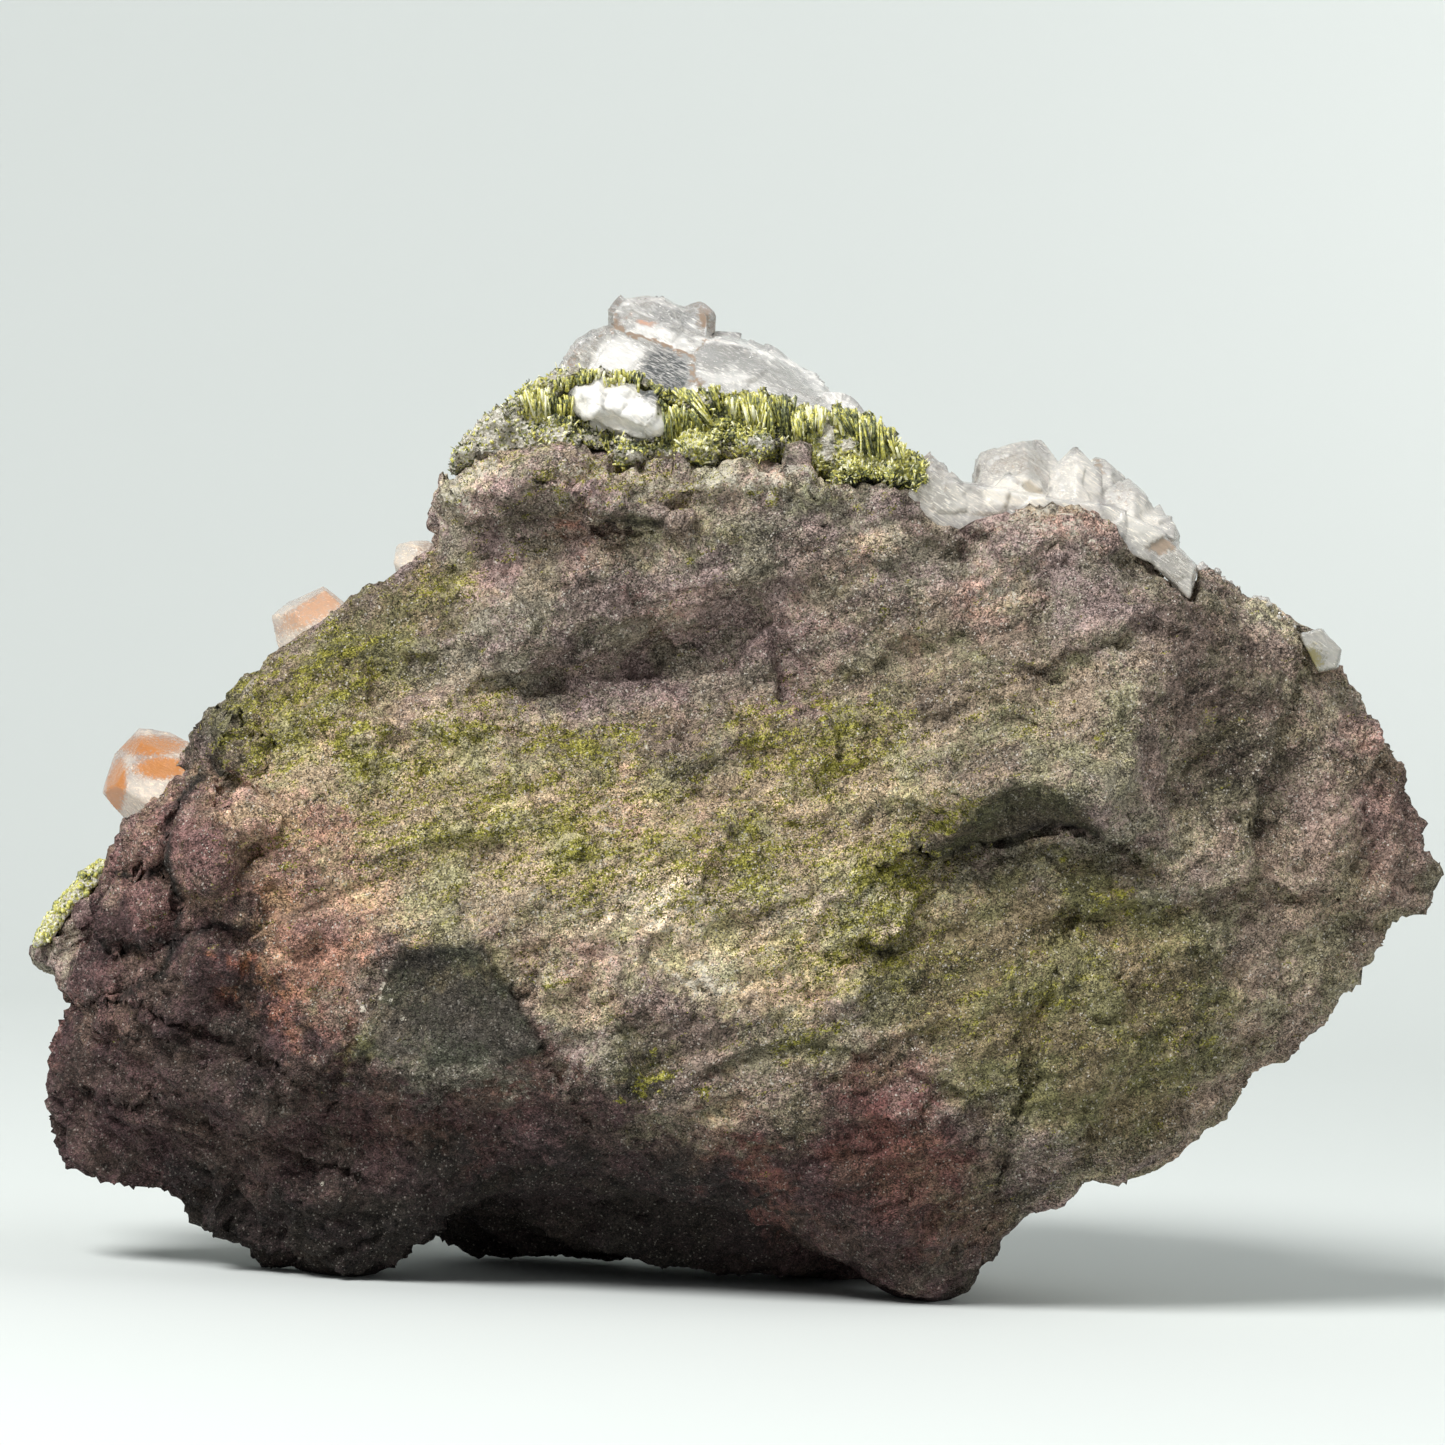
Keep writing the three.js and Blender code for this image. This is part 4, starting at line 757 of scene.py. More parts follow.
# Swellings and hollows on the front: middle, half sizes, turn, height in millimetres
SWELLINGS = [
    (700, 486, 60, 13, 3, 0.6), (820, 494, 70, 13, 5, 0.9), (560, 470, 50, 14, -12, 0.5),
    (520, 480, 90, 26, 0, 0.2), (480, 512, 60, 16, 0, -0.2), (700, 485, 60, 22, 0, 0.4),
    (640, 505, 26, 10, 0, 0.5), (800, 480, 16, 34, 0, 0.6), (850, 520, 60, 26, 20, 0.4),
    (930, 530, 44, 26, 25, 0.7), (1080, 545, 90, 36, 8, 0.6), (620, 700, 110, 30, -22, -0.5),
    (720, 660, 130, 36, -20, -0.2), (560, 600, 120, 30, -28, 0.4), (870, 620, 140, 24, -20, 0.4),
    (960, 680, 140, 24, -24, 0.45), (830, 720, 120, 20, -12, 0.35), (955, 812, 44, 20, -35, 0.5),
    (1090, 740, 60, 60, 0, 0.6), (460, 720, 100, 24, -15, 0.3), (300, 700, 90, 30, -35, 0.5),
    (400, 800, 90, 24, -10, -0.3), (560, 830, 160, 26, 6, 0.35), (700, 900, 200, 26, 0, 0.5),
    (500, 930, 150, 20, 0, 0.5), (300, 880, 60, 22, 0, 0.3), (455, 1010, 70, 50, 0, -0.5),
    (620, 1080, 80, 24, 0, 0.3), (780, 1080, 80, 30, 0, 0.3), (900, 1150, 70, 40, 10, 0.5),
    (1120, 930, 50, 18, 0, -0.4), (1020, 990, 120, 30, -10, 0.3), (1180, 900, 60, 60, 0, 0.4),
    (1260, 760, 40, 70, 10, -0.4), (1340, 860, 40, 60, 0, 0.4), (1220, 1020, 80, 30, -30, 0.35),
]


# Rims of the rock that reach higher than its solid: middle, half sizes, turn, rise in millimetres
LIFTS = [
    (1045, 540, 78, 34, 5, 1.35), (568, 462, 20, 22, 0, 0.7), (745, 484, 46, 24, 0, 0.7),
    (797, 484, 9, 26, 0, 1.2), (870, 503, 50, 18, 0, 0.5),
]
# How far the corner of the right tip lies lower than in its solid, in millimetres, from which column
# and row on and over how many pixels, and where the rock lies further in beside it
TIP_DROP = 2.4
TIP_CORNER, TIP_SPREAD = (1408, 905), (30, 106)
TIP_CUT = (1446, 814, 16, 18, 0, 1.5)

# Stains on the flat dark patch, like those above
PATCH_STAINS = [
    ("pewter", 430, 1050, 60, 16, 6, 0.55), ("pewter", 510, 1052, 40, 14, 0, 0.5),
    ("moss", 380, 1030, 30, 30, 0, 0.45), ("olive", 470, 970, 40, 14, 0, 0.4),
    ("olive", 355, 1050, 16, 12, 0, 0.9), ("brown", 360, 1000, 16, 40, 0, 0.4),
    ("pewter", 500, 990, 16, 20, 40, 0.3),
]
FLAT_PATCH = [(398, 948), (482, 944), (507, 985), (550, 1052), (500, 1070), (420, 1064), (352, 1058),
              (372, 1010)]

# The lower left, where the rock's layers run down to the right
LOW_LEFT = [(30, 990), (110, 1000), (250, 985), (345, 1050), (640, 1100), (640, 1330), (0, 1330),
            (0, 1000)]

# Where the rock is most crumbly: middle, half sizes, turn, strength
CRUMBLY_PLACES = [
    (130, 900, 110, 130, 0, 0.7), (180, 1080, 190, 110, 0, 0.5), (640, 490, 240, 50, 0, 0.6),
    (1300, 1080, 160, 60, -45, 0.35), (1420, 860, 50, 80, 0, 0.4), (950, 540, 60, 40, 0, 0.5),
    (260, 1220, 140, 60, 10, 0.9), (240, 760, 70, 60, 0, 0.7), (1120, 540, 60, 40, 0, 0.3),
]


def outline_cover(u, v, outline, softness):
    """How far inside a closed outline each place is, from 0 outside to 1 inside the soft edge."""
    inside = np.zeros(len(u), bool)
    for (from_u, from_v), (to_u, to_v) in zip(outline, outline[1:] + outline[:1]):
        spans = (from_v > v) != (to_v > v)
        crossing = from_u + (v - from_v) * (to_u - from_u) / ((to_v - from_v) or 1e-9)
        inside ^= spans & (u < crossing)
    away, _ = polyline_profile(u, v, outline + outline[:1])
    share = np.clip(0.5 + np.where(inside, away, -away) / (2 * softness), 0, 1)
    return share * share * (3 - 2 * share)


def polyline_profile(u, v, line):
    """Distance from a line in the picture, and which side of it each place is on."""
    best = np.full(len(u), 1e9)
    side = np.zeros(len(u))
    for (from_u, from_v), (to_u, to_v) in zip(line, line[1:]):
        length = math.hypot(to_u - from_u, to_v - from_v)
        way_u, way_v = (to_u - from_u) / length, (to_v - from_v) / length
        run = np.clip((u - from_u) * way_u + (v - from_v) * way_v, 0, length)
        away = np.hypot(u - from_u - run * way_u, v - from_v - run * way_v)
        turn = (u - from_u) * way_v - (v - from_v) * way_u
        closer = away < best
        best[closer] = away[closer]
        side[closer] = turn[closer]
    return best, side > 0


def front_sculpting(points):
    """Forward height in millimetres of everything that is broken out of the front."""
    u, v = shaken(points, *to_picture(points), *EDGE_WAVES)
    height = np.zeros(len(u))
    for ridge, crack, rise, fall, reach_up, reach_down, _, _ in OVERHANGS:
        from_ridge, _ = polyline_profile(u, v, ridge)
        from_crack, _ = polyline_profile(u, v, crack)
        between = outline_cover(u, v, ridge + crack[::-1], 1.5)
        down = from_ridge / (from_ridge + from_crack + 0.01)
        beyond = np.where(from_ridge < from_crack, rise * np.exp(-((from_ridge / reach_up) ** 1.5)),
                          -fall * np.exp(-((from_crack / reach_down) ** 1.5)))
        middle = (ridge[0][0] + ridge[-1][0]) / 2
        ends = np.clip(1.25 - np.abs(u - middle) / abs(ridge[-1][0] - ridge[0][0]), 0, 0.75) / 0.75
        height += (between * (rise - (rise + fall) * down) + (1 - between) * beyond) * ends
    for line, left, right in FOLDS:
        away, is_left = polyline_profile(u, v, line)
        for here, (at_line, beyond, reach) in ((is_left, left), (~is_left, right)):
            height += here * (beyond + (at_line - beyond) * np.exp(-((away / reach) ** 1.5))) * np.exp(
                -((away / (3 * reach)) ** 2))
    for line, width, depth in SLITS:
        away, _ = polyline_profile(u, v, line)
        height -= depth * np.exp(-((away / width) ** 2))
    for *place, rise in SWELLINGS:
        height += rise * soft_spots(u, v, [(*place, 1.0)])
    return height


def boulder_heights(points):
    """Forward height in millimetres of the rounded boulders at the left."""
    u, v = shaken(points, *to_picture(points), *EDGE_WAVES)
    boulders = np.zeros(len(u))
    for *place, rise in BOULDERS:
        boulders = np.maximum(boulders, rise * np.sqrt(np.clip(1 - from_middle(u, v, *place), 0, 1)))
    return boulders


def front_share(rock):
    """How far each place of the rock belongs to the side that the picture shows."""
    return np.clip(-normals_of(rock)[:, 1] * 2.5 + 0.3, 0, 1)


# Random numbers of a cell: the far decimals of large sines of its place
SINE_SIZE = 43758.5453
CELL_KEYS = np.array([[127.1, 311.7, 74.7], [269.5, 183.3, 246.1], [113.5, 271.9, 124.6],
                      [419.2, 371.9, 168.3], [235.7, 91.1, 312.4], [53.9, 421.3, 199.7]])


def cell_dice(cells, seed):
    """Six repeatable random numbers for each cell of a grid."""
    return np.modf(np.abs(np.sin(cells @ CELL_KEYS.T + seed) * SINE_SIZE))[0]


def nearest_cells(points, size, seed):
    """Way from the nearest cell's middle to each point, in cells, with that cell's dice."""
    scaled = points / size
    home = np.floor(scaled)
    nearest = np.full(len(points), 1e9)
    ways, dice = np.zeros((len(points), 3)), np.zeros((len(points), 6))
    for step in itertools.product((-1, 0, 1), repeat=3):
        cells = home + np.array(step)
        drawn = cell_dice(cells, seed)
        away = scaled - cells - drawn[:, :3]
        distance = (away**2).sum(axis=1)
        closer = distance < nearest
        nearest[closer] = distance[closer]
        ways[closer], dice[closer] = away[closer], drawn[closer]
    return ways, dice


def knobs(points, size, rise, seed):
    """Heights of rounded knobs with creases between them."""
    ways, _ = nearest_cells(points, size, seed)
    return (0.45 - (ways**2).sum(axis=1)) * rise


def chips(points, size, tilt, seed):
    """Heights of flat tilted chips, one in each cell of a random division of space."""
    ways, dice = nearest_cells(points, size, seed)
    return ((ways * (dice[:, 3:] * 2 - 1)).sum(axis=1) + (dice[:, 3] - 0.5) * 0.6) * tilt * size


def ribs(points, size, reach, seed, lean):
    """Heights of uneven ribs that run across the front, up to the right by an angle in degrees."""
    lean = math.radians(lean)
    along = points[:, 0] * math.cos(lean) + points[:, 2] * math.sin(lean)
    across = points[:, 2] * math.cos(lean) - points[:, 0] * math.sin(lean)
    return waver(np.stack((along / 3.6, points[:, 1], across), axis=1), size, reach, seed)


def ragged_places(points, seed):
    """Picture places of points, shaken so that edges of stains come out ragged."""
    u, v = to_picture(points)
    for size, reach in RAGGED_WAVES:
        u, v = shaken(points, u, v, size, reach, seed)
    return u, v


def rock_stains_and_shade(points):
    """Ground colour of the rock at each point: its stains, and painted shade on facets, in slits and below.
    """
    ragged_u, ragged_v = ragged_places(points, 1)
    colour = np.tile(np.array(PLUM_GREY), (len(points), 1))
    covers = [(colour_key, strength * outline_cover(ragged_u, ragged_v, outline, softness))
              for colour_key, outline, softness, strength in STAINED_AND_SHADED_AREAS]
    covers += [(colour_key, soft_spots(ragged_u, ragged_v, [spot])) for colour_key, *spot in STAINS_AND_SHADES]
    u, v = shaken(points, *to_picture(points), *EDGE_WAVES)
    # Painted shade on the down-facing facets between ridge and crack
    for ridge, crack, *_, colour_key, strength in OVERHANGS:
        covers.append((colour_key, strength * outline_cover(u, v, ridge + crack[::-1], 3)))
    # Painted shade: black inside the slits, more for deeper slits
    for line, width, depth in SLITS:
        away, _ = polyline_profile(u, v, line)
        covers.append(("black", min(1.0, 0.5 + depth) * np.exp(-((away / width) ** 2))))
    covers.append(("slate", 0.95 * outline_cover(u, v + 2, FLAT_PATCH, 4)))
    covers += [(colour_key, soft_spots(ragged_u, ragged_v, [spot])) for colour_key, *spot in PATCH_STAINS]
    for colour_key, cover in covers:
        share = np.clip(cover, 0, 1)[:, None]
        colour = colour * (1 - share) + np.array(STAIN_AND_SHADE_COLOURS[colour_key]) * share
    return colour


def rock_material():
    made = Nodes("altered volcanic rock")
    grain = made.cells(15.0)
    lot = made.channel(grain, 0)
    other_lot = made.channel(grain, 1)
    slanting = made.stretched((0, math.radians(-20), 0), (3.2, 1, 0.8))
    cloud = made.noise(1.9, 2.0, 0.6)
    broad = made.noise(0.2, 3.0, 0.55)
    streak = made.noise(0.6, 3.0, 0.62, slanting)
    scatter = made.centred(other_lot)
    ground = made.attribute("ground", "Color")
    # Warmer and greener patches, and pale patches between them
    warm = made.ramp(made.total(made.noise(0.33, 4.0, 0.62), (scatter, 0.16)), 0.42, 0.58)
    hue = made.mix(warm, (0.96, 1.01, 0.86), (1.07, 0.955, 0.99))
    ground = made.times(ground, hue)
    pale = made.total(made.noise(0.55, 4.0, 0.66, slanting), (scatter, 0.14))
    pale = made.ramp(pale, 0.53, 0.64, 0.0, 0.7)
    ground = made.mix(pale, ground, made.times(ground, (1.7, 1.64, 1.56)))
    # Lighter and darker grains, clouds and slanting streaks
    tone = made.total(0.0, (lot, 0.60), (cloud, 0.50), (streak, 0.75), (broad, 0.55))
    tone = made.ramp(tone, 0.72, 1.64, 0.24, 2.16)
    grey = made.add("CombineColor", {0: tone, 1: tone, 2: tone}).outputs[0]
    ground = made.times(ground, grey)
    # Grains of green epidote in clusters
    in_the_dark = made.ramp(made.attribute("ground"), 0.09, 0.04, 0.0, 0.4)
    clusters = made.noise(1.3, 4.0, 0.68, slanting)
    green_share = made.total(made.attribute("green"), (clusters, 3.2), (other_lot, -0.8), (in_the_dark, -1.0))
    grain_tone = made.total(cloud, (lot, 0.6))
    green = made.mix(made.ramp(grain_tone, 0.5, 0.85), (0.052, 0.052, 0.010), (0.26, 0.24, 0.028))
    green = made.mix(made.ramp(grain_tone, 0.85, 1.2), green, (0.56, 0.51, 0.12))
    ground = made.mix(made.ramp(green_share, 1.80, 2.06, 0.0, 0.94), ground, green)
    # Whitish grains
    white_share = made.total(made.attribute("white"), (made.noise(2.3, 4.0, 0.7), 1.4), (lot, -0.5))
    ground = made.mix(made.ramp(white_share, 0.95, 1.2, 0.0, 0.75), ground, (0.72, 0.66, 0.54))
    # Painted glints: a few bright grains, fewer where the ground is dark
    bright = made.channel(made.cells(12.0), 2)
    glint_reach = made.ramp(made.attribute("ground"), 0.03, 0.14, 0.25, 0.8)
    painted_glint = made.math("MULTIPLY", made.ramp(bright, 0.955, 0.98), glint_reach)
    ground = made.mix(painted_glint, ground, (0.62, 0.57, 0.50))
    # Painted shade: near-black pits between grains, and darker creases between clumps
    painted_pit_shade = made.ramp(other_lot, 0.12, 0.05, 0.0, 0.75)
    ground = made.mix(painted_pit_shade, ground, (0.02, 0.016, 0.012))
    crumbs = made.cells(4.2, "SMOOTH_F1", "Distance")
    middle = made.noise(1.5, 4.0, 0.6)
    painted_crease_shade = made.ramp(made.total(crumbs, (cloud, -0.35)), 0.24, 0.42, 0.0, 0.5)
    ground = made.mix(painted_crease_shade, ground, made.times(ground, (0.35, 0.33, 0.30)))
    rough = made.ramp(lot, 0.85, 1.0, 0.85, 0.4)
    fine = made.cells(10.0, "F1", "Distance")
    normal = made.bump(middle, 0.44 * MM, 1.0)
    normal = made.bump(crumbs, 0.12 * MM, 0.9, normal)
    normal = made.bump(fine, 0.06 * MM, 0.9, normal)
    made.set(Base_Color=ground, Roughness=rough, Normal=normal)
    made.shader.inputs["Specular IOR Level"].default_value = 0.3
    return made.material


def thin(piece, most, **settings):
    """Takes triangles off a piece, flattest places first, down to a count."""
    piece.data.calc_loop_triangles()
    count = len(piece.data.loop_triangles)
    if count > most:
        apply_modifier(piece, "DECIMATE", ratio=most / count, **settings)


def thin_far_side(rock, most):
    """Takes triangles off the side that faces away from the picture."""
    group = rock.vertex_groups.new(name="far side")
    group.add(np.flatnonzero(normals_of(rock)[:, 1] > 0.1).tolist(), 1.0, "REPLACE")
    thin(rock, most, vertex_group=group.name)
    rock.vertex_groups.clear()


# Layers of relief on the rock. Chips: size, tilt, seed. Knobs: size, rise, seed. Ribs: size, reach, seed
# and lean in degrees
ROCK_CHIPS = [(3.6 * MM, 0.22, 3.0), (1.7 * MM, 0.24, 5.0), (0.8 * MM, 0.24, 7.0)]
CRUMBLY_KNOBS = [(1.9 * MM, 0.9 * MM, 11.0), (0.8 * MM, 0.45 * MM, 13.0)]
FINE_KNOBS = [(0.55 * MM, 0.125 * MM, 17.0)]
UPPER_RIBS = [(1.5 * MM, 0.26 * MM, 8, 22), (0.6 * MM, 0.2 * MM, 9, 22)]
LOWER_RIBS = [(1.3 * MM, 0.45 * MM, 8, -24), (0.5 * MM, 0.3 * MM, 9, -24)]
# Share of the chips everywhere, and what the front, crumbly places and the far side add to it
CHIPS_ALL, CHIPS_FRONT, CHIPS_CRUMBLY, CHIPS_FAR = 0.16, 0.46, 0.6, 0.3
# Height above the floor below which the relief fades, so that the rock stands as its solid does
FLOOR_BAND = 0.8 * MM
# How much the relief is less on the flat patch
PATCH_CALM = 0.8
CRUMB_RADII = (0.03 * MM, 0.10 * MM)


def relief(kind, points, layers):
    """Summed heights of a few layers of one kind of relief."""
    return sum(kind(points, *layer) for layer in layers)


def grain_places(piece, gain, base):
    """Marks where green and white grains lie thick on the rock or on its crumbs."""
    u, v = ragged_places(corners_of(piece), 3)
    set_value(piece, "green", np.clip(soft_spots(u, v, GREEN_GRAINS) * gain + base, 0, 1))
    set_value(piece, "white", np.clip(soft_spots(u, v, WHITE_GRAINS) + base, 0, 1))
    return soft_spots(u, v, GREEN_GRAINS)


def build_rock():
    settings = bpy.context.scene.cluster_rock
    rock = start_copy("matrix_rock", "rock")
    remesh(rock, settings.mesh_step)
    apply_modifier(rock, "SMOOTH", factor=0.5, iterations=6)
    points = corners_of(rock)
    u, v = to_picture(points)
    beyond = np.clip((u - TIP_CORNER[0]) / TIP_SPREAD[0], 0, 1)
    upper = np.clip((TIP_CORNER[1] - v) / TIP_SPREAD[1], 0, 1)
    points[:, 1] -= boulder_heights(points) * front_share(rock) * MM
    points[:, 2] -= TIP_DROP * MM * beyond * upper
    points[:, 0] -= soft_spots(u, v, [TIP_CUT]) * MM
    set_corners(rock, points)
    remesh(rock, settings.mesh_step)
    rest = corners_of(rock)
    facing = -normals_of(rock)[:, 1]
    front = front_share(rock)
    forward = rest.copy()
    forward[:, 1] -= front_sculpting(rest) * front * MM
    forward[:, 2] += soft_spots(*to_picture(rest), LIFTS) * np.clip(front * 2, 0, 1) * MM
    set_corners(rock, forward)
    normals = normals_of(rock)
    u, v = to_picture(forward)
    crumbly = np.clip(soft_spots(u, v, CRUMBLY_PLACES), 0, 1)
    flat = outline_cover(u, v, FLAT_PATCH, 12)
    breakage = CHIPS_ALL + CHIPS_FRONT * np.clip(2.5 * facing, 0, 1) + CHIPS_CRUMBLY * crumbly
    breakage += CHIPS_FAR * (facing < -0.2)
    low_left = outline_cover(u, v, LOW_LEFT, 40)
    height = breakage * relief(chips, forward, ROCK_CHIPS)
    height += crumbly * relief(knobs, forward, CRUMBLY_KNOBS)
    height += (1 - low_left) * relief(ribs, forward, UPPER_RIBS)
    height += low_left * relief(ribs, forward, LOWER_RIBS)
    height += relief(knobs, forward, FINE_KNOBS)
    set_corners(rock, forward + normals * (height * (1 - PATCH_CALM * flat))[:, None])
    displace(rock, 2.4 * MM, 0.24 * MM, 4, noise_type="HARD_NOISE")
    displace(rock, 0.45 * MM, 0.20 * MM, 2)
    points = corners_of(rock)
    near_floor = np.clip(1 - rest[:, 2] / FLOOR_BAND, 0, 1)[:, None]
    points = points * (1 - near_floor) + rest * near_floor
    points[:, 2] = np.maximum(points[:, 2], 0)
    set_corners(rock, points)
    thin_far_side(rock, settings.most_faces)
    thin(rock, settings.most_faces)
    set_colour(rock, "ground", rock_stains_and_shade(corners_of(rock)))
    greens = grain_places(rock, 1.0, 0.0)
    shade(rock, True)
    finish = rock_material()
    finish_piece(rock, finish, "rock", "matrix_rock")

    chance = np.clip(-normals_of(rock)[:, 1], 0, 1) * (0.3 + np.clip(greens, 0, 1))
    crumbs = grains_on("rock_crumbs", rock, settings.crumbs, CRUMB_RADII, chance, 31, 0.2)
    set_colour(crumbs, "ground", rock_stains_and_shade(corners_of(crumbs)))
    grain_places(crumbs, 1.1, 0.05)
    shade(crumbs, True)
    finish_piece(crumbs, finish, "rock")


# Epidote

# Width of a face of the crusts, then how many grains or blades, their radii or lengths, and for blades
# their radii
SEAM_STEP, CORNER_STEP = 0.17 * MM, 0.2 * MM
SEAM_GRAIN_SIZES = (2300, (0.04 * MM, 0.12 * MM))
SEAM_BLADE_SIZES = (2400, (0.2 * MM, 0.6 * MM), (0.035 * MM, 0.10 * MM))
CORNER_GRAIN_SIZES = (500, (0.08 * MM, 0.24 * MM))
NEEDLE_RADII = (0.05, 0.14)
# Needles for each one that a bundle asks for, and the steps in tone between neighbours
NEEDLE_CROWDING = 1.5
NEEDLE_TONES = (-0.42, -0.1, 0.3)


def epidote_colours(made, tone):
    """Black-green, slate green, yellow-green and pale grains, by their tone."""
    colour = made.mix(made.ramp(tone, 0.10, 0.40), (0.030, 0.036, 0.018), (0.25, 0.27, 0.125))
    colour = made.mix(made.ramp(tone, 0.38, 0.62), colour, (0.68, 0.63, 0.11))
    return made.mix(made.ramp(tone, 0.64, 0.90), colour, (0.95, 0.93, 0.68))


def epidote_material():
    """Blades with fine stripes along them."""
    made = Nodes("epidote")
    streaks = made.centred(made.noise(9.0, 3.0, 0.7, made.stretched((0, 0, 0), (1, 1, 7))))
    mottle = made.centred(made.noise(4.5, 5.0, 0.75))
    tone = made.total(0.29, (made.attribute("tint"), 0.6), (streaks, 1.5), (mottle, 1.3))
    made.set(Base_Color=epidote_colours(made, tone), Roughness=made.ramp(mottle, -0.2, 0.2, 0.15, 0.5),
             Normal=made.bump(streaks, 0.05 * MM, 0.8))
    return made.material


def crust_material():
    """Granular crust under the blades: dark, green, yellow-green and cream grains."""
    made = Nodes("epidote crust")
    cells = made.cells(7.5)
    lot = made.centred(made.channel(cells, 0))
    other = made.centred(made.channel(cells, 1))
    patch = made.centred(made.noise(1.6, 6.0, 0.75))
    grain = made.centred(made.noise(6.0, 4.0, 0.75))
    tone = made.total(made.attribute("tint"), (patch, 1.2), (lot, 0.5), (grain, 1.2))
    pale = made.total(made.attribute("cream"), (patch, -2.0), (other, 0.8), (grain, 1))
    cream = made.mix(made.ramp(lot, -0.5, 0.5), (0.62, 0.56, 0.45), (0.92, 0.88, 0.78))
    colour = made.mix(made.ramp(pale, 0.42, 0.66), epidote_colours(made, tone), cream)
    height = made.total(made.cells(5.5, "F1", "Distance"), (made.noise(7.0, 5.0, 0.7), 1))
    made.set(Base_Color=colour, Roughness=made.ramp(other, -0.5, 0.5, 0.3, 0.75),
             Normal=made.bump(height, 0.18 * MM, 1.0))
    return made.material


# Bundles of needles on the seam: foot and top in the picture, width in pixels, needles, tint
SEAM_BUNDLES = [
    (532, 418, 528, 390, 10, 24, 0.75), (541, 420, 538, 387, 12, 30, 0.95),
    (551, 418, 550, 392, 8, 14, 0.5), (560, 422, 558, 396, 10, 16, 0.3), (570, 422, 570, 394, 8, 14, 0.35),
    (565, 392, 566, 376, 16, 22, 0.55), (583, 388, 584, 371, 13, 24, 0.5),
    (596, 384, 596, 368, 12, 24, 0.65), (609, 389, 610, 377, 12, 14, 0.5),
    (624, 390, 624, 369, 14, 26, 0.6), (635, 394, 635, 372, 7, 16, 0.15), (650, 402, 663, 386, 5, 9, 0.15),
    (666, 412, 659, 399, 4, 8, 0.2), (669, 444, 668, 406, 11, 26, 0.4), (680, 438, 676, 402, 10, 20, 0.6),
    (712, 424, 682, 388, 7, 30, 0.3), (704, 432, 690, 408, 8, 14, 0.55), (720, 412, 709, 386, 7, 16, 0.1),
    (715, 394, 713, 384, 10, 10, 0.65), (724, 408, 722, 392, 4, 8, 0.4), (739, 420, 738, 395, 20, 34, 0.4),
    (760, 438, 756, 392, 18, 44, 0.6), (770, 440, 766, 398, 8, 20, 0.4), (787, 444, 777, 394, 7, 24, 0.12),
    (781, 410, 779, 395, 8, 8, 0.75), (800, 446, 799, 409, 15, 40, 0.5), (817, 438, 818, 405, 11, 28, 0.75),
    (811, 440, 810, 418, 6, 10, 0.2), (835, 430, 831, 409, 5, 12, 0.4), (858, 436, 844, 407, 12, 34, 0.3),
    (846, 440, 838, 408, 5, 10, 0.75), (865, 462, 859, 412, 11, 30, 0.55),
    (876, 462, 872, 416, 11, 30, 0.7), (884, 460, 881, 424, 5, 10, 0.2), (893, 456, 888, 428, 7, 16, 0.4),
    (902, 464, 898, 440, 6, 10, 0.5),
]
BUNDLE_DEPTH = -5.5

# Darker and brighter places of the seam's crust and where it is cream: place, half sizes, turn, strength
SEAM_BRIGHT = [
    (690, 440, 20, 14, 0, 0.9), (870, 464, 60, 12, 4, 0.9), (540, 402, 14, 20, 0, 0.7),
    (810, 450, 24, 12, 0, 0.8), (815, 408, 12, 8, 0, 0.7), (735, 400, 20, 10, 0, 0.4),
    (600, 380, 60, 10, 0, 0.3), (740, 413, 7, 5, 0, 0.7),
]
SEAM_CREAM = [
    (520, 446, 50, 14, -12, 0.75), (500, 420, 24, 14, -30, 0.5), (490, 440, 60, 30, -30, 0.8),
    (562, 388, 20, 10, 0, 0.5), (556, 432, 14, 8, 0, 0.9), (616, 452, 12, 8, 0, 0.8),
    (637, 458, 14, 6, 0, 1.0), (668, 460, 14, 10, 0, 1.0), (720, 452, 60, 10, 0, 0.5),
    (764, 443, 20, 8, 0, 0.9), (828, 440, 9, 24, 0, 1.1), (848, 446, 8, 8, 0, 1.0),
    (610, 380, 24, 8, 0, 0.7), (826, 488, 18, 8, 0, 0.9), (604, 374, 4, 14, 0, 1.2),
    (573, 372, 5, 10, 0, 1.0), (644, 376, 5, 10, 0, 1.2), (548, 395, 8, 6, 0, 0.5),
    (697, 400, 14, 8, -10, 0.8), (772, 404, 6, 9, 0, 1.0), (450, 476, 40, 14, -30, 0.7),
    (892, 440, 4, 14, 0, 0.8), (480, 428, 50, 30, -30, 0.8), (560, 440, 60, 14, 0, 0.6),
    (700, 456, 60, 10, 0, 0.5), (560, 384, 20, 12, 0, 0.9), (640, 432, 24, 10, 0, 0.8),
]
# The first dark place, at the seam's foot, is painted shade under the seam
SEAM_DARK = [
    (880, 482, 40, 9, 8, 0.5), (610, 436, 50, 14, 8, 0.12), (918, 470, 12, 12, 0, 0.2),
    (780, 430, 10, 16, 0, 0.3), (716, 404, 8, 12, -20, 0.3), (560, 410, 14, 12, 0, 0.15),
]
LUMP_PLACE = (620, 405, 46, 21, 6, 1.0)
# Line in the picture below which the crust sinks into the rock, over a height in pixels
SEAM_FOOT = [(440, 452), (560, 450), (680, 448), (780, 452), (930, 482)]
SEAM_FOOT_HEIGHT = 26
# How far back the crust lies in millimetres: behind the white lump, at its foot, and everywhere
LUMP_BACK, FOOT_BACK, SEAM_BACK = 1.9, 1.2, 0.3


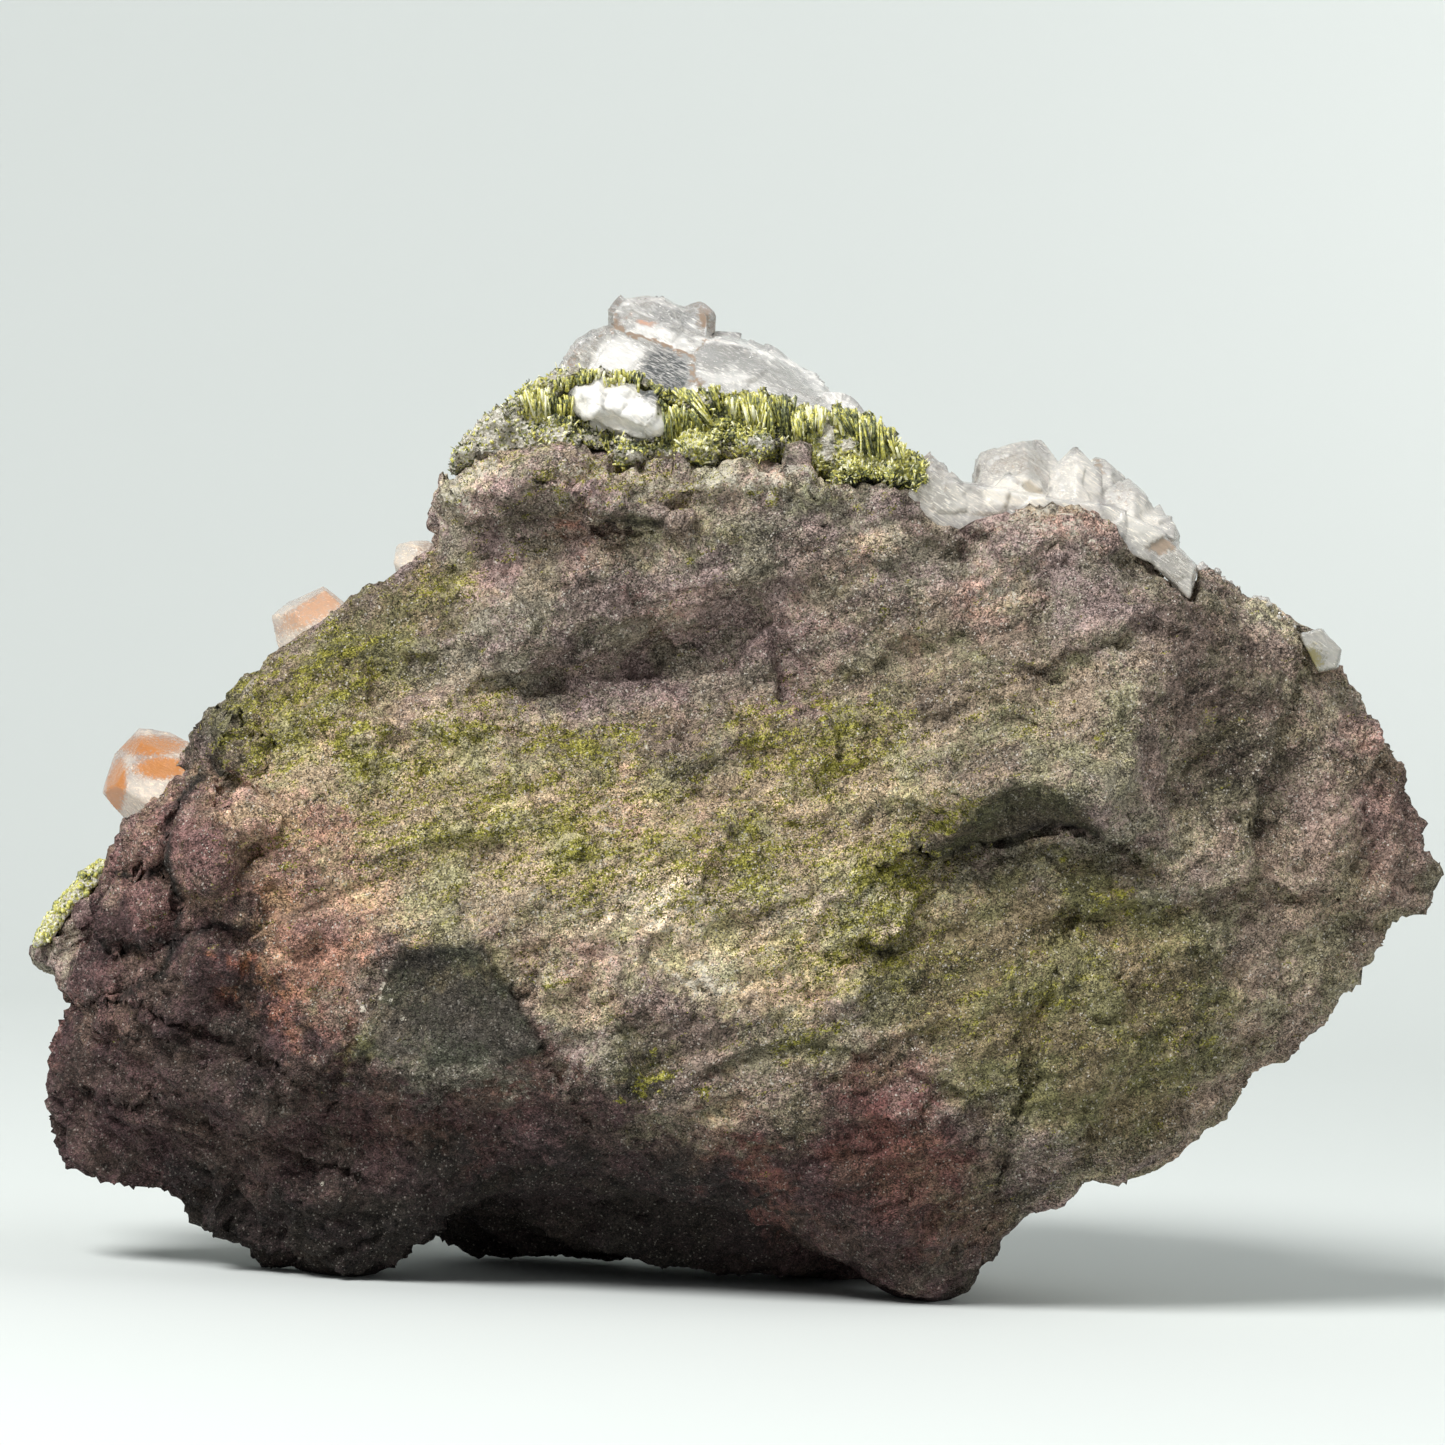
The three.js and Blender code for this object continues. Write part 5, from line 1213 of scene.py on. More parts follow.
def needle_bundle(bundle, dice):
    """Blades of one bundle as places, turns and stretches, with their tints."""
    foot_u, foot_v, top_u, top_v, width, count, tint = bundle
    copies, tints = [], []
    splay = dice.uniform(0.9, 1.5)
    tint += dice.choice((-0.16, 0.0, 0.1))
    for _ in range(round(count * NEEDLE_CROWDING)):
        side = dice.uniform(-0.5, 0.5) * width
        inward = dice.uniform(-0.35, 0.9)
        lean = dice.normal(0, 0.14) * (foot_v - top_v)
        low = dice.uniform(0.0, 0.55)
        high = low + (1 - low) * dice.uniform(0.5, 1.0)
        spots = []
        for share, depth in ((low, 0.6 + inward), (high, 0.2 + inward * 1.3)):
            column = foot_u + (top_u - foot_u) * share + side * (1 + (splay - 1) * share) + lean * share
            spots.append(seen(column, foot_v + (top_v - foot_v) * share, BUNDLE_DEPTH + depth))
        way = spots[1] - spots[0]
        radius = dice.uniform(*NEEDLE_RADII) * MM
        turn = upright(way) @ Quaternion((0, 0, 1), dice.uniform(0, math.pi))
        copies.append((spots[0], turn, (radius, radius * 0.7, way.length)))
        tints.append(tint + dice.choice(NEEDLE_TONES) + dice.normal(0, 0.14))
    return copies, tints


# Where single grains lie thick on the seam: picture place, half sizes, turn, strength
SEAM_GRAINS = [
    (870, 472, 60, 14, 0, 1.0), (690, 442, 34, 16, 0, 0.9), (610, 444, 60, 14, 10, 0.8),
    (540, 430, 60, 30, 0, 0.6), (745, 450, 60, 12, 0, 0.8), (600, 385, 50, 12, 0, 0.7),
    (480, 440, 40, 26, 0, 0.4),
]


def finish_crust(crust, node, *parts):
    """Joins the grains and blades on a crust with it, and lets it ride on the body."""
    shade(crust, True)
    finish = epidote_material()
    crust.data.materials.append(crust_material())
    crust.data.materials.append(finish)
    for part in parts:
        part.data.materials.append(finish)
    joined = join_pieces(crust, *parts)
    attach(joined, BODY)
    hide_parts(node)


def lump_share(points):
    """How far each place lies behind the white lump."""
    return np.clip(soft_spots(*to_picture(points), [LUMP_PLACE]) * 1.6, 0, 1)


def build_seam():
    seam = start_copy("epidote_seam", "epidote_seam_dressed")
    remesh(seam, SEAM_STEP)
    points = corners_of(seam)
    u, v = to_picture(points)
    lump = lump_share(points)
    low_edge = np.clip((v - np.interp(u, *zip(*SEAM_FOOT))) / SEAM_FOOT_HEIGHT, 0, 1)
    points[:, 1] += (LUMP_BACK * lump + FOOT_BACK * low_edge + SEAM_BACK) * MM
    set_corners(seam, points)
    chip_surface(seam, (0.9 * MM, 0.45, 3.0), (0.45 * MM, 0.4, 5.0))
    displace(seam, 1.3 * MM, 0.5 * MM, 4, noise_type="HARD_NOISE")
    u, v = to_picture(corners_of(seam))
    set_value(seam, "tint", 0.36 + 0.5 * soft_spots(u, v, SEAM_BRIGHT) - soft_spots(u, v, SEAM_DARK))
    set_value(seam, "cream", soft_spots(u, v, SEAM_CREAM))
    front = np.clip(-normals_of(seam)[:, 1] + 0.2, 0.02, 1) * (1 - lump_share(corners_of(seam)))
    cream = np.clip(1.0 - 1.3 * soft_spots(u, v, SEAM_CREAM), 0.05, 1)
    chance = (0.15 + soft_spots(u, v, SEAM_GRAINS)) * front * (0.2 + 0.8 * cream)
    grains = grains_on("seam grains", seam, *SEAM_GRAIN_SIZES, chance, 5, 0.0, block_shape)
    blades = blades_on(seam, *SEAM_BLADE_SIZES, front * cream + 0.005, 6, Vector((0, -0.5, 0.6)))
    dice = np.random.default_rng(11)
    copies, tints = [], []
    for bundle in SEAM_BUNDLES:
        more, their_tints = needle_bundle(bundle, dice)
        copies += more
        tints += their_tints
    needles = swarm("seam needles", template("needle", needle_shape), copies, tints)
    finish_crust(seam, "epidote_seam", grains, blades, needles)


def build_corner():
    corner = start_copy("corner_epidote", "corner_epidote_dressed")
    remesh(corner, CORNER_STEP)
    displace(corner, 0.9 * MM, 0.35 * MM, 2)
    fill_value(corner, "tint", 0.7)
    fill_value(corner, "cream", 0.45)
    chance = np.ones(len(corner.data.vertices))
    grains = grains_on("corner grains", corner, *CORNER_GRAIN_SIZES, chance, 9, 0.0)
    finish_crust(corner, "corner_epidote", grains)


def build_spray(node):
    """Fan of dark epidote blades with their edges broken."""
    spray = start_copy(node, node + "_dressed")
    apply_modifier(spray, "BEVEL", width=0.08 * MM, segments=1)
    fill_value(spray, "tint", 0.25)
    finish = epidote_material()
    finish_piece(spray, finish, "epidote", node)


# Quartz

# Its kinds: colour that light keeps inside, how fast it is absorbed, colour of the milk and of the stain
BROKEN_QUARTZ = ((0.96, 0.91, 0.83), 50, (0.985, 0.94, 0.87), (0.38, 0.27, 0.19))
ROUGH_QUARTZ = ((0.93, 0.855, 0.745), 130, (0.84, 0.775, 0.665), (0.42, 0.32, 0.24))
STAINED_QUARTZ = ((0.95, 0.80, 0.60), 230, (0.86, 0.70, 0.52))
GREENISH_QUARTZ = ((0.80, 0.77, 0.58), 260, (0.44, 0.39, 0.28), (0.30, 0.26, 0.12))
SMOKY_MILK = (0.6, 0.52, 0.45)
QUARTZ_IOR = 1.545
# Width of a face of the quartz and of the stained crystals
QUARTZ_STEP, STAINED_STEP = 0.12 * MM, 0.14 * MM


def quartz_material(name, tone, density, milk_colour, stain=None):
    """Quartz that is clear where its milk is low, with streaks, veils, scratches and frosted faces."""
    made = Nodes(name)
    cloud = made.noise(0.9, 6.0, 0.7)
    slope = (0.0, math.radians(32), 0.4)
    streaks = made.noise(1.6, 6.0, 0.72, made.stretched(slope, (2.6, 1.0, 0.5)), 0.6)
    scratches = made.noise(4.6, 4.0, 0.68, made.stretched(slope, (6.0, 1.0, 0.4)), 0.3)
    veils = made.ramp(streaks, 0.48, 0.68)
    milky = made.total(made.attribute("milk"), (made.centred(cloud), 0.7), (veils, 0.25))
    milky = made.math("ADD", milky, made.math("MULTIPLY", made.ramp(scratches, 0.56, 0.64), 0.42), True)
    colour = made.mix(milky, (1.0, 1.0, 1.0), milk_colour)
    colour = made.mix(made.ramp(streaks, 0.49, 0.40, 0.0, 0.4), colour, (0.88, 0.88, 0.86))
    shadow = made.math("MULTIPLY", made.attribute("shadow"), made.ramp(scratches, 0.58, 0.48, 0.25, 1.0))
    milky = made.math("MULTIPLY", milky, made.math("SUBTRACT", 1.0, made.math("MULTIPLY", shadow, 0.8)))
    colour = made.mix(shadow, colour, (0.085, 0.09, 0.09))
    milky = made.math("MAXIMUM", milky, made.math("MULTIPLY", shadow, 0.95))
    if stain:
        fine = made.centred(made.noise(5.0, 6.0, 0.8))
        spread = made.ramp(made.total(made.attribute("stain"), (fine, 1.8)), 0.3, 0.8)
        colour = made.mix(spread, colour, stain)
        rust = made.ramp(made.total(made.attribute("rust"), (fine, 1.6)), 0.3, 1.1)
        colour = made.mix(rust, colour, (0.78, 0.40, 0.25))
        milky = made.math("MAXIMUM", milky, made.math("MULTIPLY", made.math("MAXIMUM", spread, rust), 0.7))
    clearness = made.math("SUBTRACT", 1.0, milky, True)
    frost = made.ramp(made.noise(2.2, 5.0, 0.7), 0.35, 0.7, 0.03, 0.28)
    ripples = made.noise(2.4, 6.0, 0.7, made.stretched(slope, (1.9, 1.0, 0.45)), 0.4)
    normal = made.bump(ripples, 0.07 * MM, 0.8)
    normal = made.bump(scratches, 0.03 * MM, 0.6, normal)
    made.set(Base_Color=colour, Transmission_Weight=clearness, Roughness=frost, Normal=normal)
    made.shader.inputs["IOR"].default_value = QUARTZ_IOR
    made.absorb(tone, density)
    return made.material


# Markings of the quartz along the top, by kind: outlines in the picture with their softness in pixels,
# lines with their half width, and soft spots with half sizes and turn, each with its strength
TOP_MARKS = {
    "milk": (
        [([(584, 374), (590, 352), (606, 338), (626, 336), (645, 347), (662, 356), (648, 368), (640, 388),
           (610, 384)], 8, 0.62),
         ([(622, 330), (640, 322), (668, 328), (694, 340), (702, 332), (700, 350), (692, 360), (660, 346)],
          5, 0.62),
         ([(575, 386), (600, 380), (634, 386), (666, 402), (668, 440), (600, 440), (570, 410)], 6, 0.8)],
        [([(700, 338), (745, 346), (790, 362), (830, 386), (856, 408)], 4, 0.75),
         ([(705, 372), (760, 384), (810, 400)], 6, 0.4),
         ([(612, 318), (630, 300), (660, 300), (684, 311)], 3, 0.4)],
        [(700, 395, 14, 8, 0, 0.7), (835, 400, 30, 10, 35, 0.4), (735, 378, 40, 10, 10, 0.3),
         (573, 372, 20, 8, 0, 0.5)],
    ),
    "stain": (
        [([(560, 368), (575, 348), (600, 332), (612, 330), (600, 345), (588, 362)], 4, 0.42)],
        [([(612, 325), (630, 334), (654, 341), (672, 349), (690, 357)], 2.6, 1.0),
         ([(692, 357), (704, 339)], 2.2, 0.8),
         ([(694, 356), (693, 375), (698, 384), (704, 388)], 2.6, 0.9),
         ([(700, 337), (730, 344), (745, 352)], 1.8, 0.5)],
        [(616, 321, 5, 9, 10, 0.75), (704, 318, 8, 13, 0, 0.9), (612, 330, 6, 6, 0, 0.6),
         (697, 382, 8, 6, 0, 0.7), (690, 310, 12, 4, -20, 0.4), (600, 335, 12, 4, -30, 0.5),
         (566, 362, 5, 12, 30, 0.5)],
    ),
    "rust": (
        [],
        [],
        [(645, 322, 11, 5, 10, 1.0), (627, 316, 6, 4, -20, 0.6), (578, 350, 10, 6, -40, 0.5),
         (664, 330, 8, 3, 20, 0.4), (572, 362, 8, 5, -30, 0.45)],
    ),
    "shadow": (
        [([(645, 352), (662, 346), (684, 356), (692, 366), (690, 384), (672, 394), (658, 404), (642, 396),
           (640, 372)], 5, 1.0)],
        [([(655, 345), (672, 353), (688, 364)], 4, 0.6)],
        [(710, 358, 20, 12, 20, 0.45), (760, 372, 36, 8, 30, 0.4), (800, 385, 30, 6, 35, 0.35),
         (740, 352, 20, 5, 20, 0.3)],
    ),
}
# Where the top quartz reaches less high than its solid, in millimetres
TOP_LOWERED = [(818, 356, 34, 30, 20, 1.0), (895, 430, 30, 40, 0, 1.2)]
# Triangles that the top quartz may have
TOP_QUARTZ_FACES = 190000
# Rounded parts of the milky lump: middle in the picture, depth, then half sizes across, deep and high
LUMP_PARTS = [
    (612, 405, -4.5, 1.9, 1.3, 0.85), (640, 414, -4.6, 1.3, 1.3, 0.85), (589, 398, -4.4, 0.9, 1.2, 0.6),
    (606, 393, -4.4, 0.8, 1.2, 0.5), (626, 395, -4.5, 0.9, 1.2, 0.55), (655, 424, -4.7, 0.7, 1.1, 0.7),
    (600, 414, -4.7, 0.8, 1.2, 0.5), (646, 403, -4.5, 0.6, 1.2, 0.5),
]


def set_by_places(piece, name, spots, base=0.0):
    u, v = to_picture(corners_of(piece))
    set_value(piece, name, np.clip(base + soft_spots(u, v, spots), 0, 1))


def set_marks(piece, marks, milk):
    """Paints the markings of a piece of quartz, its edges a little shaken."""
    points = corners_of(piece)
    u, v = shaken(points, *to_picture(points), *MARK_WAVES)
    for name, (outlines, lines, spots) in marks.items():
        total = soft_spots(u, v, spots) + (milk if name == "milk" else 0)
        for outline, softness, strength in outlines:
            total = np.maximum(total, strength * outline_cover(u, v, outline, softness))
        for line, width, strength in lines:
            away, _ = polyline_profile(u, v, line)
            total = np.maximum(total, strength * np.exp(-((away / width) ** 2)))
        set_value(piece, name, np.clip(total, 0, 1))


def build_top_quartz():
    top = start_copy("top_quartz", "top_quartz_dressed")
    parts = []
    for u, v, depth, across, deep, high in LUMP_PARTS:
        deselect_all()
        bpy.ops.mesh.primitive_ico_sphere_add(subdivisions=3, radius=MM, location=seen(u, v, depth))
        bpy.ops.transform.resize(value=(across, deep, high))
        bpy.ops.object.transform_apply(location=True, rotation=True, scale=True)
        parts.append(bpy.context.object)
    top = join_pieces(top, *parts)
    remesh(top, QUARTZ_STEP)
    points = corners_of(top)
    points[:, 2] -= soft_spots(*to_picture(points), TOP_LOWERED) * MM
    set_corners(top, points)
    lump = soft_spots(*to_picture(points), [LUMP_PLACE])
    chip_surface(top, (3.0 * MM, 0.11, 4.0), (1.3 * MM, 0.05, 6.0))
    displace(top, 0.9 * MM, 0.04 * MM, 3)
    points = corners_of(top)
    set_corners(top, points + normals_of(top) * (waver(points, 1.1 * MM, 0.25 * MM, 5) * lump)[:, None])
    thin(top, TOP_QUARTZ_FACES)
    set_marks(top, TOP_MARKS, 0.22)
    shade(top, True)
    finish = quartz_material("broken quartz", *BROKEN_QUARTZ)
    finish_piece(top, finish, "clear_quartz", "top_quartz")


RIGHT_MARKS = {
    "milk": (
        [([(984, 490), (1000, 477), (1020, 474), (1040, 482), (1050, 500), (1048, 508), (984, 506)], 5,
          0.8), ([(1046, 520), (1048, 448), (1094, 452), (1104, 520)], 4, 0.55)],
        [],
        [(1140, 515, 24, 16, 30, 0.3), (950, 500, 20, 20, 0, 0.25)],
    ),
    "stain": (
        [([(980, 480), (992, 462), (1010, 452), (1044, 448), (1046, 482), (1030, 476), (1005, 474)], 5,
          0.40)],
        [([(1094, 456), (1104, 474)], 3, 0.7)],
        [(925, 456, 14, 12, 0, 0.55), (1124, 496, 16, 18, 0, 0.45), (1162, 546, 13, 8, 0, 1.0),
         (945, 478, 20, 20, 0, 0.35), (905, 455, 10, 8, 0, 0.5)],
    ),
    "rust": ([], [], [(1112, 500, 8, 12, 0, 0.35), (920, 448, 8, 6, 0, 0.4)]),
    "shadow": (
        [],
        [([(1152, 556), (1164, 566), (1172, 582)], 2, 0.7)],
        [(1163, 546, 11, 6, 0, 0.9), (1168, 570, 16, 16, 30, 0.35), (960, 480, 3, 6, 0, 0.6),
         (940, 500, 16, 20, 0, 0.3)],
    ),
}


# Small crystals along the edge that runs down to the right: line in the picture, how many, spread and
# greatest length in millimetres
EDGE_CRYSTALS = [
    ([(1192, 556), (1224, 566)], 8, 0.8, 0.5),
    ([(1224, 566), (1254, 592), (1290, 622), (1304, 634)], 16, 0.6, 0.32),
    ([(1256, 598), (1268, 604)], 5, 0.5, 0.7),
    ([(1112, 534), (1140, 548), (1156, 570)], 12, 0.4, 0.4),
    ([(896, 440), (916, 448)], 8, 0.5, 0.9),
]


def edge_crystals(dice):
    """Short quartz points that stand on the edge of the rock, as one joined mesh."""
    copies = []
    rock = tree_of(bpy.data.objects["rock"])
    for line, count, spread, longest in EDGE_CRYSTALS:
        along = np.cumsum([0] + [math.dist(a, b) for a, b in zip(line, line[1:])])
        for step in np.sort(dice.uniform(0, along[-1], count)):
            u = np.interp(step, along, [spot[0] for spot in line])
            v = np.interp(step, along, [spot[1] for spot in line])
            length = longest * dice.uniform(0.5, 1.0) * MM
            way = Vector((dice.normal(0.3, 0.4), dice.normal(-0.4, 0.3), dice.uniform(0.5, 1.0))).normalized()
            place = seen(u, v, dice.uniform(-0.6, 1.2)) + Vector(dice.normal(0, 0.3 * spread * MM, 3))
            place = rock.find_nearest(place)[0]
            radius = length * dice.uniform(0.35, 0.55)
            copies.append((place - way * length * 0.4, upright(way), (radius, radius, length)))
    return swarm("edge crystals", template("edge point", quartz_shape), copies, np.zeros(len(copies)))


def build_right_quartz():
    right = start_copy("right_quartz", "right_quartz_dressed")
    remesh(right, QUARTZ_STEP)
    chip_surface(right, (1.6 * MM, 0.09, 8.0), (0.8 * MM, 0.05, 9.0))
    displace(right, 0.5 * MM, 0.04 * MM, 3)
    set_marks(right, RIGHT_MARKS, 0.30)
    shade(right, True)
    small = edge_crystals(np.random.default_rng(44))
    fill_value(small, "milk", 0.3)
    shade(small, False)
    right = join_pieces(right, small)
    finish = quartz_material("rough quartz", *ROUGH_QUARTZ)
    finish_piece(right, finish, "milky_quartz", "right_quartz")


# The stained crystals: node, stained spots, milk, colour of the stain
STAINED_CRYSTALS = [
    ("left_stained_crystal",
     [(116, 788, 10, 30, 8, 0.9), (162, 768, 26, 11, 0, 0.95), (150, 746, 40, 11, 0, 0.75),
      (182, 800, 8, 14, 0, 0.5)], 0.42, (0.64, 0.26, 0.08)),
    ("upper_stained_crystal", [(320, 606, 50, 14, -30, 0.7)], 0.45, (0.72, 0.42, 0.26)),
    ("pale_crystal", [(430, 545, 20, 10, -30, 0.5)], 0.6, (0.5, 0.36, 0.28)),
]


def build_stained(node, stain_spots, milk, stain):
    crystal = start_copy(node, node + "_dressed")
    apply_modifier(crystal, "BEVEL", width=0.12 * MM, segments=2, limit_method="ANGLE")
    remesh(crystal, STAINED_STEP)
    displace(crystal, 1.5 * MM, 0.1 * MM, 2)
    fill_value(crystal, "milk", milk)
    set_by_places(crystal, "stain", stain_spots, 0.1)
    shade(crystal, True)
    finish = quartz_material(node + " quartz", *STAINED_QUARTZ, stain)
    finish_piece(crystal, finish, "stained_quartz", node)


def build_wedge():
    wedge = start_copy("edge_wedge", "edge_wedge_dressed")
    remesh(wedge, QUARTZ_STEP)
    displace(wedge, 0.8 * MM, 0.2 * MM, 2)
    fill_value(wedge, "milk", 0.3)
    set_by_places(wedge, "stain", [(1310, 660, 14, 14, 0, 0.8)], 0.1)
    shade(wedge, True)
    finish = quartz_material("greenish quartz", *GREENISH_QUARTZ)
    finish_piece(wedge, finish, "milky_quartz", "edge_wedge")


# The shortest point of the druse and how much longer the longest is
DRUSE_SHORTEST, DRUSE_SPREAD = 0.8 * MM, 2.2 * MM


def build_smoky():
    settings = bpy.context.scene.cluster_smoky
    smoky = start_copy("smoky_cluster", "smoky_points")
    apply_modifier(smoky, "BEVEL", width=0.07 * MM, segments=1, limit_method="ANGLE")
    fill_value(smoky, "milk", 0.04)
    dice = np.random.default_rng(21)
    back = np.clip(normals_of(smoky)[:, 1], 0, 1)
    places, normals = scattered(smoky, settings.small_points, back + 0.001, dice)
    copies = []
    for place, normal in zip(places, normals):
        lean = Vector(normal) + Vector(dice.normal(0, 0.35, 3))
        length = DRUSE_SHORTEST + DRUSE_SPREAD * dice.random() ** 2
        radius = length * dice.uniform(0.2, 0.34)
        turn = upright(lean.normalized()) @ Quaternion((0, 0, 1), dice.uniform(0, math.pi))
        copies.append((Vector(place) - lean.normalized() * length * 0.25, turn, (radius, radius, length)))
    druse = swarm("druse", template("point", quartz_shape), copies, dice.random(len(copies)))
    fill_value(druse, "milk", 0.15)
    shade(druse, False)
    shade(smoky, False)
    finish = quartz_material("smoky quartz", tuple(settings.colour), settings.density, SMOKY_MILK)
    finish_piece(smoky, finish, "smoky_quartz", "smoky_cluster")
    finish_piece(druse, finish, "smoky_quartz")


# Stage


def stage_material():
    made = Nodes("pale studio floor")
    settings = bpy.context.scene.cluster_stage
    speck = made.noise(0.02, 2.0)
    colour = tuple(settings.floor_colour)
    made.set(Base_Color=made.mix(speck, colour, tuple(c * 0.985 for c in colour)), Roughness=0.9)
    return made.material


# The floor and the wall that it rounds into, in metres
STAGE_HALF_WIDTH, STAGE_FRONT, STAGE_BACK, STAGE_HEIGHT, STAGE_CURVE = 1.6, -1.0, 0.55, 1.2, 0.3
CURVE_STEPS = 16
# What the lamps point at
SUBJECT = (0, 0, 0.02)
AIR_COLOUR = (0.93, 0.97, 1.0, 1)
# Power of the small light on the wall behind the specimen, as a share of the wall light's
GLOW_SHARE = 0.03


def build_stage():
    settings = bpy.context.scene.cluster_stage
    foot = STAGE_BACK - STAGE_CURVE
    profile = [(STAGE_FRONT, 0.0), (foot, 0.0)]
    for i in range(1, CURVE_STEPS + 1):
        angle = math.pi / 2 * i / CURVE_STEPS
        profile.append((foot + STAGE_CURVE * math.sin(angle), STAGE_CURVE * (1 - math.cos(angle))))
    profile.append((STAGE_BACK, STAGE_HEIGHT))
    points = [(x, y, z) for y, z in profile for x in (-STAGE_HALF_WIDTH, STAGE_HALF_WIDTH)]
    faces = [(2 * i, 2 * i + 1, 2 * i + 3, 2 * i + 2) for i in range(len(profile) - 1)]
    mesh = bpy.data.meshes.new("studio floor")
    mesh.from_pydata(points, [], faces)
    floor = bpy.data.objects.new("studio_floor", mesh)
    bpy.context.scene.collection.objects.link(floor)
    shade(floor, True)
    floor.data.materials.append(stage_material())

    add_lamp("key light", (-0.26, -0.40, 0.50), SUBJECT, 0.32, settings.key_power)
    add_lamp("fill light", (0.5, -0.5, 0.25), SUBJECT, 0.5, settings.fill_power)
    add_lamp("wall light", (0.8, 0.1, 0.7), (0.5, 0.5, 0.2), 0.9, settings.wall_power)
    add_lamp("backdrop light", (0.22, 0.38, 0.22), (0.10, 0.55, 0.10), 0.16, settings.wall_power * GLOW_SHARE)
    world = bpy.data.worlds.new("studio air")
    world.use_nodes = True
    background = world.node_tree.nodes["Background"]
    background.inputs["Color"].default_value = AIR_COLOUR
    background.inputs["Strength"].default_value = settings.air_strength
    bpy.context.scene.world = world
    bpy.context.scene.view_settings.view_transform = "Standard"

    camera = bpy.data.objects.new("camera", bpy.data.cameras.new("camera"))
    bpy.context.scene.collection.objects.link(camera)
    camera.data.sensor_width = SENSOR
    camera.data.lens = SENSOR * VIEW_DISTANCE / (PICTURE_SIDE * PIXEL)
    camera.data.clip_start = 0.01
    camera.location = EYE
    camera.rotation_euler = (Matrix.Rotation(-ROLL, 3, "Y") @ Matrix.Rotation(math.pi / 2, 3, "X")).to_euler()
    bpy.context.scene.camera = camera


def add_lamp(name, place, target, size, power):
    lamp = bpy.data.objects.new(name, bpy.data.lights.new(name, "AREA"))
    bpy.context.scene.collection.objects.link(lamp)
    lamp.data.shape = "DISK"
    lamp.data.size = size
    lamp.data.energy = power
    lamp.location = place
    lamp.rotation_euler = (Vector(target) - Vector(place)).to_track_quat("-Z", "Y").to_euler()


# Settings that a user would change


class RockSettings(bpy.types.PropertyGroup):
    mesh_step: FloatProperty(name="Mesh step", description="Width of one face on the rock",
                             default=0.22 * MM, precision=5, unit="LENGTH")
    most_faces: IntProperty(name="Most faces", description="Triangles that the rock may have", default=196000)
    crumbs: IntProperty(name="Crumbs", description="Small grains on the front of the rock",
                        default=9500, min=0)


class SmokySettings(bpy.types.PropertyGroup):
    colour: FloatVectorProperty(name="Smoke colour", description="Colour that light keeps inside the points",
                                default=(0.62, 0.50, 0.40), size=3, min=0, max=1, subtype="COLOR")
    density: FloatProperty(name="Smoke density", description="How fast the points absorb light", default=170)
    small_points: IntProperty(name="Small points", description="Points of the druse between the large ones",
                              default=700, min=0)


class StageSettings(bpy.types.PropertyGroup):
    floor_colour: FloatVectorProperty(name="Floor colour", description="Colour of floor and backdrop",
                                      default=(0.70, 0.735, 0.71), size=3, min=0, max=1, subtype="COLOR")
    key_power: FloatProperty(name="Key light", description="Power of the soft light above",
                             default=5.5, unit="POWER")
    fill_power: FloatProperty(name="Fill light", description="Power of the light at the side",
                              default=0.2, unit="POWER")
    wall_power: FloatProperty(name="Wall light", description="Power of the light on the backdrop",
                              default=3.6, unit="POWER")
    air_strength: FloatProperty(name="Air light", description="Strength of light from all round",
                                default=0.25)


# Operators, one for each piece or group of like pieces


class CLUSTER_OT_rock(bpy.types.Operator):
    """Break and stain the rock"""
    bl_idname = "cluster.rock"
    bl_label = "Rock"

    def execute(self, context):
        build_rock()
        return {"FINISHED"}


class CLUSTER_OT_epidote(bpy.types.Operator):
    """Grow the epidote seam, the corner crust and the sprays"""
    bl_idname = "cluster.epidote"
    bl_label = "Epidote"

    def execute(self, context):
        build_seam()
        build_corner()
        build_spray("epidote_spray_left")
        build_spray("epidote_spray_low")
        return {"FINISHED"}


class CLUSTER_OT_broken_quartz(bpy.types.Operator):
    """Finish the broken quartz along the upper edge"""
    bl_idname = "cluster.broken_quartz"
    bl_label = "Broken quartz"

    def execute(self, context):
        build_top_quartz()
        build_right_quartz()
        build_wedge()
        return {"FINISHED"}


class CLUSTER_OT_stained_crystals(bpy.types.Operator):
    """Finish the orange and the pale crystals at the left"""
    bl_idname = "cluster.stained_crystals"
    bl_label = "Stained crystals"

    def execute(self, context):
        for crystal in STAINED_CRYSTALS:
            build_stained(*crystal)
        return {"FINISHED"}


